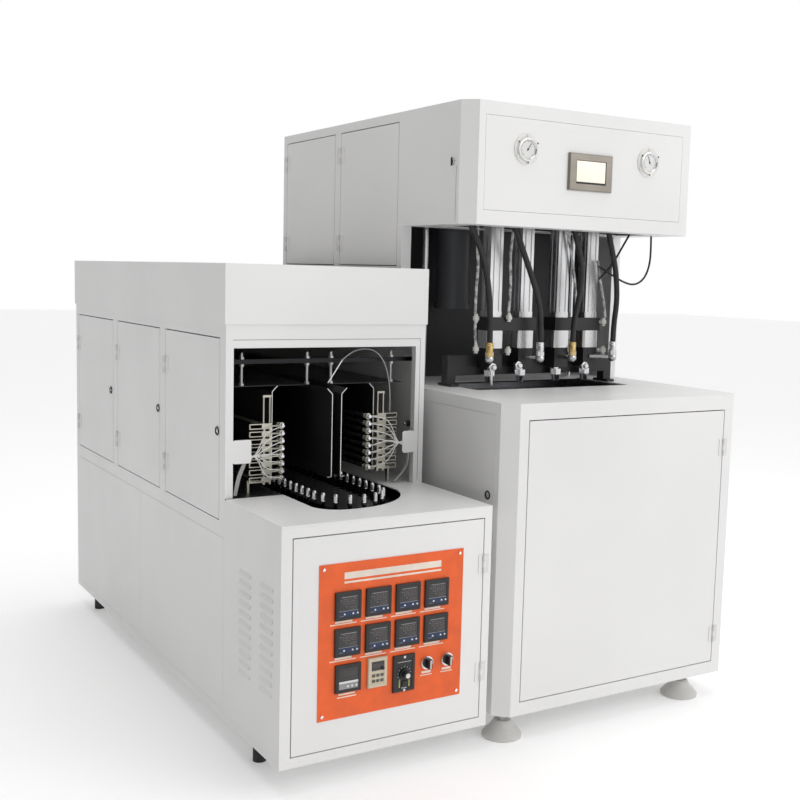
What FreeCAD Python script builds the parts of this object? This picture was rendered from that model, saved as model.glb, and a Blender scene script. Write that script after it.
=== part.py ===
import FreeCAD, Part
import math
import os

V = FreeCAD.Vector

# Semi-automatic stretch blow moulding machine: a preform heater with its control cabinet
# and, beside it, the blowing press.  Millimetres; X to the right, Y to the back, Z up.
# While it is built, X = 0 is the heater hood's left side, Y = 0 the hood's front and
# Z = 0 the floor.  At the end everything moves so that the origin is the middle of the
# whole machine's footprint.

# ---------------------------------------------------------------- driving dimensions
SHEET = 2.0                 # cabinet sheet
LEAF_SHEET = 1.5            # door sheet
RETURN = 22.0               # depth of folded edges
DOOR_GAP = 3.0              # gap round every door
PANEL_GAP = 0.8             # gap round lift-off panels
FIT = 0.3                   # clearance between pieces that are bolted together
RUN = 0.05                  # radial clearance of running fits

HEATER_W = 620.0            # hood width
HEATER_D = 1530.0           # hood depth
HOOD_OVER = 4.0             # hood stands proud of the body
HEATER_H = 1305.0           # hood top
BAND_Z = 1145.0             # hood bottom
BODY_Z = 70.0               # underside of the heater body
TABLE_Z = 680.0             # top of the table
TABLE_T = 3.0
CABINET_D = 365.0           # control cabinet in front of the heater
UNIT_GAP = 40.0             # between heater and press

UPPER_DOOR_W = 448.0
UPPER_DOOR_Z0 = 614.0
UPPER_DOOR_Z1 = 1108.0
STILE = 50.0
FIRST_DOOR_Y = 46.0
LOWER_PANEL_Z0 = 95.0
LOWER_PANEL_Z1 = 572.0
WINDOW_X0 = 26.0
WINDOW_X1 = 585.0
WINDOW_Z1 = 1082.0
TAB_Z0 = 772.0
TAB_Z1 = 836.0
WINDOW_Z0 = 600.0

CONTROL_DOOR_X0 = 36.0
CONTROL_DOOR_X1 = 590.0
CONTROL_DOOR_Z0 = 99.0
CONTROL_DOOR_Z1 = 646.0
PLATE_X0 = 105.0
PLATE_X1 = 526.0
PLATE_Z0 = 175.0
PLATE_Z1 = 574.0
PLATE_T = 2.0

METER = 72.0                # square panel meters
METER_PROUD = 8.0
METER_BODY = 66.0
METER_DEEP = 60.0
METER_PITCH_X = 86.5
METER_PITCH_Z = 93.5
METER_X0 = 148.0
METER_Z1 = 501.0
METER_COLS = 4
METER_ROWS = 2

CHAIN_PITCH = 38.1
TEETH = 16
STRAIGHT_LINKS = 36
OVEN_X = 300.0              # middle of the chain loop
FRONT_SPROCKET_Y = -130.0
HOLDER_Z = 712.0            # top of the preform holders
LAMPS = 8
LAMP_PITCH = 21.0
LAMP_Z0 = 733.0             # lowest lamp of the right bank
LAMP_X = 122.0              # lamp line, from the loop's middle
BANK_OUT = {-1: 0.0, 1: 26.0}   # the right bank stands further out
BANK_DROP = {-1: 14.0, 1: 0.0}  # and the left one hangs lower
LAMP_D = 11.0
CERAMIC_D = 14.0
REFLECTOR_X = 145.0         # sheet behind the lamps
CENTRE_X = 14.0             # centre reflectors, each side of the middle
CENTRE_SHEET_Y = -60.0
CENTRE_SHEET_Z = 730.0
OVEN_TOP_Z = 975.0
CROSSBAR_Z = 1036.0
TRACK_Z = 643.0             # top of the plate under the chain
RACK_Y = 32.0
OVEN_END_Y = 1300.0

PRESS_W = 880.0
PRESS_BACK = 1115.0
PRESS_Z = 75.0
DECK_Z = 950.0
DECK_T = 4.0
PRESS_WALL = 3.0
CORNER = 38.0               # 45 degree front corners
HEAD_FRONT = -122.0
HEAD_Z0 = 1435.0
PRESS_H = 1780.0
COLUMN_FRONT = 233.0

BLOW_IN = 425.0             # middle of the blowing stations, from the press's left side
BLOW_Y = 80.0               # line of the blowing stations
STATIONS = (-188.0, -71.0, 71.0, 188.0)
CYL = 45.0                  # stretch cylinder profile
BLOW_CYL = 60.0
ROD_D = 12.0
MOULD_Z0 = 600.0
MOULD_Z1 = 912.0
MOULD_W = 530.0
MOULD_T = 110.0
MOULD_OPEN = 160.0
ROD_TRAVEL = 250.0          # stretch rods' stroke, downwards
NOZZLE_TRAVEL = 40.0        # blow nozzles' stroke, downwards
CLOSED_GAP = 0.3            # left between the mould halves when they close
TIE_D = 40.0

HINGE_OUT = 4.0             # hinge pin in front of the sheet
HINGE_H = 50.0
HINGE_LEAF = 16.0           # hinge leaves on the fronts
HINGE_LEAF_SIDE = 25.0      # and on the left sides
PIN_D = 4.0

# ---------------------------------------------------------------- worked out
BODY_X0 = HOOD_OVER
BODY_X1 = HEATER_W - HOOD_OVER
BODY_Y0 = HOOD_OVER
BODY_Y1 = HEATER_D - HOOD_OVER
FRONT = -CABINET_D
PRESS_X0 = HEATER_W + UNIT_GAP
PRESS_X1 = PRESS_X0 + PRESS_W
BLOW_X = PRESS_X0 + BLOW_IN
PITCH_R = CHAIN_PITCH / (2 * math.sin(math.pi / TEETH))
REAR_SPROCKET_Y = FRONT_SPROCKET_Y + STRAIGHT_LINKS * CHAIN_PITCH
ROLLER_D = 9.0

nodes = {}
JOINTS = {}                 # the doors' pins and swings, in building coordinates


# ---------------------------------------------------------------- helpers
def box(x0, x1, y0, y1, z0, z1):
    return Part.makeBox(x1 - x0, y1 - y0, z1 - z0, V(x0, y0, z0))


def rod(diameter, start, end):
    start = V(*start)
    run = V(*end) - start
    return Part.makeCylinder(diameter / 2, run.Length, start, run)


def fuse(pieces):
    if len(pieces) == 1:
        return pieces[0]
    return pieces[0].multiFuse(pieces[1:]).removeSplitter()


def group(pieces):
    return Part.makeCompound(pieces)


def prism(points, direction):
    wire = Part.makePolygon([V(*p) for p in points] + [V(*points[0])])
    return Part.Face(wire).extrude(V(*direction))


def slab(face, at, depth, a0, a1, b0, b1):
    """A box on one side of a cabinet: at is the outer plane, depth goes inward."""
    if face == "left":
        return box(at, at + depth, a0, a1, b0, b1)
    if face == "right":
        return box(at - depth, at, a0, a1, b0, b1)
    if face == "front":
        return box(a0, a1, at, at + depth, b0, b1)
    if face == "back":
        return box(a0, a1, at - depth, at, b0, b1)
    if face == "top":
        return box(a0, a1, b0, b1, at - depth, at)
    return box(a0, a1, b0, b1, at, at + depth)


def outward(face, at, amount):
    return at - amount if face in ("left", "front", "bottom") else at + amount


def pan(face, at, a0, a1, b0, b1, sheet, depth, openings=(), edge=True):
    """A folded sheet: returns round its rim (edge) and round each opening."""
    skin = slab(face, at, sheet, a0, a1, b0, b1)
    parts = [skin]
    if edge:
        rim = slab(face, at, depth, a0, a1, b0, b1)
        inner = slab(face, at, depth, a0 + sheet, a1 - sheet, b0 + sheet, b1 - sheet)
        parts.append(rim.cut(inner))
    for (c0, c1, d0, d1) in openings:
        ring = slab(face, at, depth, c0 - sheet, c1 + sheet, d0 - sheet, d1 + sheet)
        parts.append(ring)
    body = fuse(parts)
    for (c0, c1, d0, d1) in openings:
        body = body.cut(slab(face, outward(face, at, 1), depth + 2, c0, c1, d0, d1))
    return body


def grow(opening, amount):
    c0, c1, d0, d1 = opening
    return (c0 - amount, c1 + amount, d0 - amount, d1 + amount)


def hinge_halves(face, at, edge, side, z):
    """One butt hinge on a face: edge is the pin line, side is +1 or -1, the way the door
    lies from it.  Returns the door's half and the frame's half with its pin."""
    third = HINGE_H / 3
    clear = 0.4
    leaf = HINGE_LEAF_SIDE if face == "left" else HINGE_LEAF
    tube_d = 2 * HINGE_OUT

    def axis_point(height):
        if face == "left":
            return (at - HINGE_OUT, edge, height)
        return (edge, at - HINGE_OUT, height)

    def plate(a0, a1, z0, z1):
        low, high = min(a0, a1), max(a0, a1)
        return slab(face, at - SHEET, SHEET, low, high, z0, z1)

    def half(way, levels):
        pieces = [plate(edge + way * (HINGE_OUT + 0.6), edge + way * leaf, z, z + HINGE_H)]
        for (z0, z1) in levels:
            pieces.append(plate(edge, edge + way * (HINGE_OUT + 1), z0, z1))
            pieces.append(rod(tube_d, axis_point(z0), axis_point(z1)))
        return fuse(pieces)

    door_half = half(side, [(z + third + clear, z + 2 * third - clear)])
    bore = rod(PIN_D + 2 * RUN, axis_point(z), axis_point(z + HINGE_H))
    door_half = door_half.cut(bore)
    frame_half = half(-side, [(z, z + third), (z + 2 * third, z + HINGE_H)])
    frame_half = frame_half.fuse(rod(PIN_D, axis_point(z), axis_point(z + HINGE_H)))
    return door_half, frame_half.removeSplitter()


def door(name, face, at, opening, side, hinges, frame_leaves, swing, cuts=()):
    """A door leaf flush in its opening.  side is the way the leaf lies from its pin."""
    c0, c1, d0, d1 = grow(opening, -DOOR_GAP)
    leaf = pan(face, at, c0, c1, d0, d1, LEAF_SHEET, RETURN - 4)
    edge = (c1 if side < 0 else c0) - side * DOOR_GAP / 2
    for z in hinges:
        door_half, frame_half = hinge_halves(face, at, edge, side, z)
        leaf = leaf.fuse(door_half)
        frame_leaves.append(frame_half)
    for cut in cuts:
        leaf = leaf.cut(cut)
    nodes[name] = leaf.removeSplitter()
    pin = (at - HINGE_OUT, edge) if face == "left" else (edge, at - HINGE_OUT)
    JOINTS[name] = {"pin": pin, "swing": swing}


def thread_rod(diameter, x, y, z0, z1, nuts):
    """A plain rod with hexagon nuts."""
    pieces = [rod(diameter, (x, y, z0), (x, y, z1))]
    for z in nuts:
        pieces.append(hexagon(x, y, z, diameter * 1.7, diameter * 0.8))
    return fuse(pieces)


def hexagon(x, y, z, flats, height):
    radius = flats / math.sqrt(3)
    points = []
    for k in range(6):
        turn = math.radians(60 * k)
        points.append((x + radius * math.cos(turn), y + radius * math.sin(turn), z))
    return prism(points, (0, 0, height))


# ---------------------------------------------------------------- heater body and hood
def heater_doors_places():
    places = []
    for k in range(3):
        y0 = FIRST_DOOR_Y + k * (UPPER_DOOR_W + STILE)
        places.append((y0, y0 + UPPER_DOOR_W, UPPER_DOOR_Z0, UPPER_DOOR_Z1))
    return places


def lower_panel_places():
    return [(12.0, 736.0, LOWER_PANEL_Z0, LOWER_PANEL_Z1),
            (748.0, 1490.0, LOWER_PANEL_Z0, LOWER_PANEL_Z1)]


def heater_body():
    openings = heater_doors_places() + lower_panel_places()
    left = pan("left", BODY_X0, BODY_Y0, BODY_Y1, BODY_Z, BAND_Z, SHEET, RETURN, openings)
    right = pan("right", BODY_X1, BODY_Y0, BODY_Y1, BODY_Z, BAND_Z, SHEET, RETURN)
    back = pan("back", BODY_Y1, BODY_X0, BODY_X1, BODY_Z, BAND_Z, SHEET, RETURN)
    window = (WINDOW_X0, WINDOW_X1, WINDOW_Z0, WINDOW_Z1)
    front = pan("front", BODY_Y0, BODY_X0, BODY_X1, BODY_Z, BAND_Z, SHEET, RETURN, [window], False)
    floor = pan("bottom", BODY_Z, BODY_X0, BODY_X1, BODY_Y0, BODY_Y1, SHEET, RETURN)
    tabs = [tab(WINDOW_X0 - 1, WINDOW_X0 + 52), tab(WINDOW_X1 - 38, WINDOW_X1 + 1)]
    return fuse([left, right, back, front, floor] + tabs)


def tab(x0, x1):
    """A rounded tab on the window's post, where the lamp leads are gathered."""
    plate = box(x0, x1, BODY_Y0, BODY_Y0 + SHEET, TAB_Z0, TAB_Z1)
    upright = [e for e in plate.Edges if e.BoundBox.YLength > SHEET / 2]
    return plate.makeFillet(7, upright)


def heater_hood():
    outer = box(0, HEATER_W, 0, HEATER_D, BAND_Z, HEATER_H)
    inner = box(SHEET, HEATER_W - SHEET, SHEET, HEATER_D - SHEET, BAND_Z + SHEET, HEATER_H - SHEET)
    mouth = box(RETURN, HEATER_W - RETURN, RETURN, HEATER_D - RETURN, BAND_Z - 1, BAND_Z + SHEET + 1)
    return outer.cut(inner).cut(mouth)


def slot_outline(z):
    """The loading slot: it hugs the chain on the left and opens wider on the right."""
    left, right = OVEN_X - 130, OVEN_X + 193
    front_y = -248.0
    bend = 75.0
    rear = REAR_SPROCKET_Y + PITCH_R + 30
    a = V(left, front_y + bend, z)
    b = V(left + bend, front_y, z)
    mid_a = V(left + bend * (1 - math.sqrt(0.5)), front_y + bend * (1 - math.sqrt(0.5)), z)
    c = V(right, -60, z)
    mid_b = V(right - 86, -200, z)
    d = V(right, rear, z)
    e = V(left, rear, z)
    edges = [Part.Arc(a, mid_a, b).toShape(), Part.Arc(b, mid_b, c).toShape(),
             Part.LineSegment(c, d).toShape(), Part.LineSegment(d, e).toShape(),
             Part.LineSegment(e, a).toShape()]
    return Part.Wire(edges)


def heater_table():
    top = TABLE_Z
    plate = box(BODY_X0 + RETURN + FIT, BODY_X1 - SHEET - FIT, BODY_Y0, BODY_Y1 - RETURN - 4,
                top - TABLE_T, top)
    apron = box(BODY_X0, BODY_X1, FRONT, BODY_Y0 + 1, top - TABLE_T, top)
    table = plate.fuse(apron)
    depth = RETURN + SHEET + 2
    table = table.cut(box(0, WINDOW_X0 + FIT, BODY_Y0 - FIT, BODY_Y0 + depth, top - 9, top + 9))
    table = table.cut(box(WINDOW_X1 - FIT, HEATER_W, BODY_Y0 - FIT, BODY_Y0 + depth, top - 9, top + 9))
    slot = Part.Face(slot_outline(top - TABLE_T - 1)).extrude(V(0, 0, TABLE_T + 2))
    return table.cut(slot).removeSplitter()


def heater_feet():
    feet = []
    for x in (51.0, HEATER_W - 51.0):
        for y in (-136.0, HEATER_D - 130.0):
            pad = rod(36, (x, y, 0), (x, y, 40))
            stem = rod(14, (x, y, 40), (x, y, BODY_Z))
            nut = hexagon(x, y, BODY_Z - 10, 22, 9.7)
            feet.append(fuse([pad, stem, nut]))
    return group(feet)


hinge_leaves = []
nodes["heater_body"] = heater_body()
nodes["heater_hood"] = heater_hood()
nodes["heater_table"] = heater_table()
nodes["heater_feet"] = heater_feet()
for number, place in enumerate(heater_doors_places(), 1):
    heights = (UPPER_DOOR_Z0 + 67, UPPER_DOOR_Z1 - 133)
    door("heater_door_%d" % number, "left", BODY_X0, place, -1, heights, hinge_leaves, 110)


def lower_panels():
    panels = []
    for place in lower_panel_places():
        c0, c1, d0, d1 = grow(place, -PANEL_GAP)
        panels.append(pan("left", BODY_X0, c0, c1, d0, d1, LEAF_SHEET, RETURN - 4))
    return group(panels)


nodes["lower_panels"] = lower_panels()


# ---------------------------------------------------------------- control cabinet
def louvres():
    """Two columns of pressed louvres on the cabinet's left side."""
    slots = []
    hoods = []
    for y_centre, wide in ((-142.0, 74.0), (-281.0, 76.0)):
        for k in range(11):
            z = 240.0 + 26.7 * k
            y0 = y_centre - wide / 2
            slots.append(box(BODY_X0 - 1, BODY_X0 + SHEET + 1, y0 + 3, y0 + wide - 3, z, z + 5))
            profile = [(BODY_X0 + 0.5, y0, z + 13), (BODY_X0 - 3.6, y0, z), (BODY_X0 - 2.2, y0, z),
                       (BODY_X0 + 0.5, y0, z + 8)]
            hoods.append(prism(profile, (0, wide, 0)))
    return slots, hoods


def cabinet_shell():
    top = TABLE_Z - TABLE_T - FIT
    rear = BODY_Y0 - FIT
    opening = (CONTROL_DOOR_X0 - DOOR_GAP, CONTROL_DOOR_X1 + DOOR_GAP,
               CONTROL_DOOR_Z0 - DOOR_GAP, CONTROL_DOOR_Z1 + DOOR_GAP)
    left = pan("left", BODY_X0, FRONT, rear, BODY_Z, top, SHEET, RETURN)
    right = pan("right", BODY_X1, FRONT, rear, BODY_Z, top, SHEET, RETURN)
    front = pan("front", FRONT, BODY_X0, BODY_X1, BODY_Z, top, SHEET, RETURN, [opening])
    floor = pan("bottom", BODY_Z, BODY_X0, BODY_X1, FRONT, rear, SHEET, RETURN)
    shell = fuse([left, right, front, floor])
    slots, hoods = louvres()
    for slot in slots:
        shell = shell.cut(slot)
    return fuse([shell] + hoods), opening


def meter_places():
    places = []
    for row in range(METER_ROWS):
        for col in range(METER_COLS):
            x0 = METER_X0 + col * METER_PITCH_X
            z1 = METER_Z1 - row * METER_PITCH_Z
            places.append((x0, x0 + METER, z1 - METER, z1))
    return places


TEMP_PLACE = (151.0, 223.0, 242.0, 314.0)
KEYPAD_PLACE = (243.0, 298.0, 240.0, 318.0)
SPEED_PLACE = (317.0, 381.0, 215.0, 312.0)
SELECTORS = ((419.0, 280.0), (481.0, 280.0))
SELECTOR_RING = 35.0
SELECTOR_STEM = 22.0
KNOB_AT = (349.0, 262.0)
PLATE_FACE = FRONT - PLATE_T


def instrument(place, proud, deep, corner=2.0):
    """A panel instrument: a bezel on the plate and a body behind it."""
    x0, x1, z0, z1 = place
    side = (METER - METER_BODY) / 2
    bezel = box(x0, x1, PLATE_FACE - proud, PLATE_FACE, z0, z1)
    edges = [e for e in bezel.Edges if abs(e.BoundBox.YLength) < 0.01
             and abs(e.BoundBox.YMin - (PLATE_FACE - proud)) < 0.01]
    bezel = bezel.makeChamfer(corner, edges)
    body = box(x0 + side, x1 - side, PLATE_FACE, PLATE_FACE + deep, z0 + side, z1 - side)
    window = box(x0 + 9, x1 - 9, PLATE_FACE - proud - 1, PLATE_FACE - proud + 1.2, z0 + 9, z1 - 9)
    return bezel.fuse(body).cut(window).removeSplitter()


def instrument_cut(place, y0, y1):
    x0, x1, z0, z1 = place
    side = (METER - METER_BODY) / 2 - FIT
    return box(x0 + side, x1 - side, y0, y1, z0 + side, z1 - side)


def control_cuts():
    y0, y1 = PLATE_FACE - 1, FRONT + 6
    cuts = []
    for place in meter_places() + [TEMP_PLACE, KEYPAD_PLACE, SPEED_PLACE]:
        cuts.append(instrument_cut(place, y0, y1))
    for (x, z) in SELECTORS:
        cuts.append(rod(SELECTOR_STEM + 2 * FIT, (x, y0, z), (x, y1, z)))
    return cuts


shell, control_opening = cabinet_shell()
nodes["cabinet_shell"] = shell
control_holes = control_cuts()
door("control_door", "front", FRONT, control_opening, -1,
     (CONTROL_DOOR_Z0 + 101, CONTROL_DOOR_Z1 - 148), hinge_leaves, 110, control_holes)


def control_plate():
    plate = box(PLATE_X0, PLATE_X1, PLATE_FACE, FRONT, PLATE_Z0, PLATE_Z1)
    for cut in control_holes:
        plate = plate.cut(cut)
    screws = []
    for x in (PLATE_X0 + 12, PLATE_X1 - 12):
        for z in (PLATE_Z0 + 12, PLATE_Z1 - 12):
            screws.append(rod(9, (x, PLATE_FACE - 2, z), (x, PLATE_FACE + 0.5, z)))
    return fuse([plate] + screws)


def panel_meters():
    return group([instrument(place, METER_PROUD, METER_DEEP) for place in meter_places()])


def speed_controller():
    body = instrument(SPEED_PLACE, METER_PROUD, METER_DEEP)
    x, z = KNOB_AT
    back = PLATE_FACE - METER_PROUD + 1.2
    return body.cut(rod(6 + 2 * RUN, (x, back - 3, z), (x, back + 9, z)))


def speed_knob():
    x, z = KNOB_AT
    floor = PLATE_FACE - METER_PROUD + 1.2
    skirt = rod(30, (x, floor - FIT, z), (x, floor - 5, z))
    grip = rod(20, (x, floor - 5, z), (x, floor - 18, z))
    spindle = rod(6, (x, floor - 1, z), (x, floor + 7, z))
    mark = box(x - 1, x + 1, floor - 18.6, floor - 17.5, z + 2, z + 9)
    return fuse([skirt, grip, spindle, mark])


def selector_rings():
    rings = []
    for (x, z) in SELECTORS:
        bezel = rod(SELECTOR_RING, (x, PLATE_FACE, z), (x, PLATE_FACE - 6, z))
        stem = rod(SELECTOR_STEM, (x, PLATE_FACE, z), (x, FRONT + 40, z))
        bore = rod(18 + 2 * RUN, (x, PLATE_FACE - 7, z), (x, FRONT + 30, z))
        rings.append(bezel.fuse(stem).cut(bore).removeSplitter())
    return group(rings)


def selector_knob(x, z):
    face = PLATE_FACE - 6
    barrel = rod(18, (x, face - 3, z), (x, FRONT + 28, z))
    cap = rod(27, (x, face - FIT, z), (x, face - 4, z))
    handle = box(x - 5, x + 5, face - 17, face - 3.5, z - 12.5, z + 12.5)
    pointer = box(x - 1, x + 1, face - 17.6, face - 16.5, z + 2, z + 12)
    return fuse([barrel, cap, handle, pointer])


nodes["control_plate"] = control_plate()
nodes["panel_meters"] = panel_meters()
nodes["temperature_controller"] = instrument(TEMP_PLACE, METER_PROUD, METER_DEEP)
nodes["drive_keypad"] = instrument(KEYPAD_PLACE, METER_PROUD, METER_DEEP)
nodes["speed_controller"] = speed_controller()
nodes["speed_knob"] = speed_knob()
nodes["selector_rings"] = selector_rings()
nodes["selector_left"] = selector_knob(*SELECTORS[0])
nodes["selector_right"] = selector_knob(*SELECTORS[1])


# ---------------------------------------------------------------- oven and chain
def side_box(side, x0, x1, y0, y1, z0, z1):
    """A box given by its distances from the loop's middle, on side -1 or +1."""
    a, b = sorted((OVEN_X + side * x0, OVEN_X + side * x1))
    return box(a, b, y0, y1, z0, z1)


def bank_box(side, x0, x1, y0, y1, z0, z1):
    """The same for a bank of lamps, which stands out and hangs down by its own amount."""
    out, drop = BANK_OUT[side], BANK_DROP[side]
    return side_box(side, x0 + out, x1 + out, y0, y1, z0 - drop, z1 - drop)


def bank_x(side, x):
    return OVEN_X + side * (x + BANK_OUT[side])


def lamp_levels(side):
    return [LAMP_Z0 - BANK_DROP[side] + k * LAMP_PITCH for k in range(LAMPS)]


RACK_Z0 = LAMP_Z0 - 14
RACK_Z1 = LAMP_Z0 + (LAMPS - 1) * LAMP_PITCH + 8
CLIP_T = 12.0
LEG_X0 = 204.0
POST_X0 = 170.0
POST_X1 = 176.0
INNER_X0 = 152.0
COMB_X1 = 216.0


def rack_end(side, y, leg_y):
    """The comb of clips that holds the eight lamp ends, and its leg on the table."""
    y1 = y + CLIP_T
    x = bank_x(side, LAMP_X)
    out = BANK_OUT[side]
    pieces = [bank_box(side, INNER_X0, INNER_X0 + 6, y, y1, RACK_Z0, RACK_Z1),
              bank_box(side, POST_X0, POST_X1, y, y1, RACK_Z0, RACK_Z1)]
    for z in lamp_levels(side):
        loop = side_box(side, INNER_X0 + out, COMB_X1 + out, y, y + 5, z - 7.5, z + 7.5)
        eye = side_box(side, POST_X1 + 4 + out, COMB_X1 - 2.5 + out, y - 1, y + 6, z - 5, z + 5)
        arm = side_box(side, LAMP_X + CERAMIC_D / 2 + out, INNER_X0 + 1 + out, y, y + 5, z - 2, z + 2)
        ring = rod(CERAMIC_D + 4, (x, y, z), (x, y + 6, z))
        pieces.append(fuse([loop.cut(eye), arm, ring]))
    leg = bank_box(side, LEG_X0, LEG_X0 + 6, leg_y, leg_y + 12, TABLE_Z + BANK_DROP[side], RACK_Z0 + 8)
    foot = bank_box(side, REFLECTOR_X + FIT + SHEET, LEG_X0 + 6, leg_y, leg_y + 12,
                    RACK_Z0, RACK_Z0 + 8)
    rack = fuse(pieces + [leg, foot])
    for z in lamp_levels(side):
        rack = rack.cut(rod(CERAMIC_D + 2 * RUN, (x, y - 1, z), (x, y + 8, z)))
    return rack


def lamp_rack(side):
    rear_y = OVEN_END_Y - 50
    ends = [rack_end(side, RACK_Y, RACK_Y + 28), rack_end(side, rear_y, rear_y - 40)]
    rails = []
    for z in (RACK_Z0, RACK_Z1 - 8):
        rails.append(bank_box(side, POST_X0, POST_X1, RACK_Y, OVEN_END_Y - 30, z, z + 8))
    stays = []
    x0, x1 = bank_x(side, INNER_X0 + 3), bank_x(side, POST_X0 + 3)
    comb_top = RACK_Z1 - BANK_DROP[side]
    top = RACK_Z1 + 60
    for y in (RACK_Y + 6, OVEN_END_Y - 44):
        stays.append(rod(5, (x0, y, comb_top - 4), (x0, y, top)))
        stays.append(rod(5, (x1, y, comb_top - 4), (x1, y, top)))
        stays.append(box(min(x0, x1) - 3, max(x0, x1) + 3, y - 3, y + 3, top - 3, top + 3))
    return fuse(ends + rails + stays)


def oven_lamps():
    lamps = []
    for side in (-1, 1):
        x = bank_x(side, LAMP_X)
        for z in lamp_levels(side):
            y0, y1 = RACK_Y - 6, OVEN_END_Y - 26
            lamps.append(fuse([rod(CERAMIC_D, (x, y0, z), (x, y0 + 26, z)),
                               rod(LAMP_D, (x, y0 + 20, z), (x, y1 - 20, z)),
                               rod(CERAMIC_D, (x, y1 - 26, z), (x, y1, z))]))
    return group(lamps)


def bent_sheet(side, x, lean, z0, y0, y1, foot):
    """A reflector: a plain sheet, its top bent over by 45 degrees, perhaps with a foot."""
    t = LEAF_SHEET
    top = OVEN_TOP_Z - FIT
    bend = 16.0
    across = OVEN_X + side * x
    way = side * lean
    points = [(across, y0, z0), (across + way * t, y0, z0), (across + way * t, y0, top - bend),
              (across + way * (t + bend), y0, top), (across + way * bend, y0, top),
              (across, y0, top - bend + t / 2)]
    sheet = prism(points, (0, y1 - y0, 0))
    if foot:
        a, b = sorted((across, across + way * foot))
        sheet = sheet.fuse(box(a, b, y0, y1, z0, z0 + t))
    return sheet.removeSplitter()


def reflectors():
    """A bent sheet behind each bank of lamps and a back to back pair in the middle."""
    sheets = []
    for side in (-1, 1):
        behind = REFLECTOR_X + BANK_OUT[side]
        sheets.append(bent_sheet(side, behind, -1, RACK_Z0 + 8 - BANK_DROP[side],
                                 RACK_Y + CLIP_T + 2, OVEN_END_Y - 52, 0))
        sheets.append(bent_sheet(side, CENTRE_X, 1, CENTRE_SHEET_Z, CENTRE_SHEET_Y, OVEN_END_Y, 12))
    return group(sheets)


def oven_top_sheets():
    sheets = []
    for side in (-1, 1):
        sheets.append(side_box(side, CENTRE_X + 18, 262, RACK_Y + CLIP_T, OVEN_END_Y,
                               OVEN_TOP_Z, OVEN_TOP_Z + LEAF_SHEET))
    return group(sheets)


def oven_hangers():
    pieces = []
    base = OVEN_TOP_Z + LEAF_SHEET
    for y in (RACK_Y + 24, OVEN_END_Y - 60):
        bar = box(BODY_X0 + RETURN + FIT, BODY_X1 - SHEET - FIT, y - 6, y + 6, CROSSBAR_Z, CROSSBAR_Z + 12)
        for x in (69.0, 263.0, 337.0, 531.0):
            bar = bar.cut(rod(8.2, (x, y, CROSSBAR_Z - 1), (x, y, CROSSBAR_Z + 13)))
            pieces.append(thread_rod(8, x, y, base, CROSSBAR_Z + 30,
                                     (base, CROSSBAR_Z - 7, CROSSBAR_Z + 12.4)))
        pieces.append(bar)
    return group(pieces)


def chain_points():
    """Pin places round the loop: two straight strands and two half turns."""
    points = []
    half = TEETH // 2
    for k in range(STRAIGHT_LINKS):
        points.append((OVEN_X - PITCH_R, FRONT_SPROCKET_Y + k * CHAIN_PITCH))
    for k in range(half):
        turn = math.pi - 2 * math.pi * k / TEETH
        points.append((OVEN_X + PITCH_R * math.cos(turn), REAR_SPROCKET_Y + PITCH_R * math.sin(turn)))
    for k in range(STRAIGHT_LINKS):
        points.append((OVEN_X + PITCH_R, REAR_SPROCKET_Y - k * CHAIN_PITCH))
    for k in range(half):
        turn = -2 * math.pi * k / TEETH
        points.append((OVEN_X + PITCH_R * math.cos(turn), FRONT_SPROCKET_Y + PITCH_R * math.sin(turn)))
    return points


LINK_W = 17.0
LINK_T = 3.0
LINK_Z = TRACK_Z + 11
HOLDER_BASE = LINK_Z + 2 * LINK_T + 2 * FIT


def chain_links():
    plate = box(0, CHAIN_PITCH, -LINK_W / 2, LINK_W / 2, 0, LINK_T)
    plate = fuse([plate, rod(LINK_W, (0, 0, 0), (0, 0, LINK_T)),
                  rod(LINK_W, (CHAIN_PITCH, 0, 0), (CHAIN_PITCH, 0, LINK_T))])
    for x in (0, CHAIN_PITCH):
        plate = plate.cut(rod(ROLLER_D + 2 * RUN, (x, 0, -1), (x, 0, LINK_T + 1)))
    points = chain_points()
    links = []
    for k, start in enumerate(points):
        end = points[(k + 1) % len(points)]
        turn = math.degrees(math.atan2(end[1] - start[1], end[0] - start[0]))
        link = plate.copy()
        link.rotate(V(0, 0, 0), V(0, 0, 1), turn)
        level = LINK_Z if k % 2 else LINK_Z + LINK_T + FIT
        link.translate(V(start[0], start[1], level))
        links.append(link)
    return group(links)


def preform_holders():
    """Turned holders: the lower end is the chain's pin, the preform stands on the head."""
    z0 = TRACK_Z + 2
    b = HOLDER_BASE
    profile = [(0, z0), (ROLLER_D / 2, z0), (ROLLER_D / 2, b), (10, b), (10, b + 4), (5, b + 6),
               (5, b + 24), (7.5, b + 24), (7.5, b + 28), (5.5, b + 30), (5.5, HOLDER_Z - 6),
               (4, HOLDER_Z), (0, HOLDER_Z)]
    wire = Part.makePolygon([V(r, 0, z) for r, z in profile] + [V(0, 0, z0)])
    turned = Part.Face(wire).revolve(V(0, 0, 0), V(0, 0, 1), 360)
    holders = []
    for (x, y) in chain_points():
        holder = turned.copy()
        holder.translate(V(x, y, 0))
        holders.append(holder)
    return group(holders)


SPROCKET_T = 6.0
SHAFT_D = 25.0
BUSH_Z0 = TRACK_Z - 43


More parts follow.
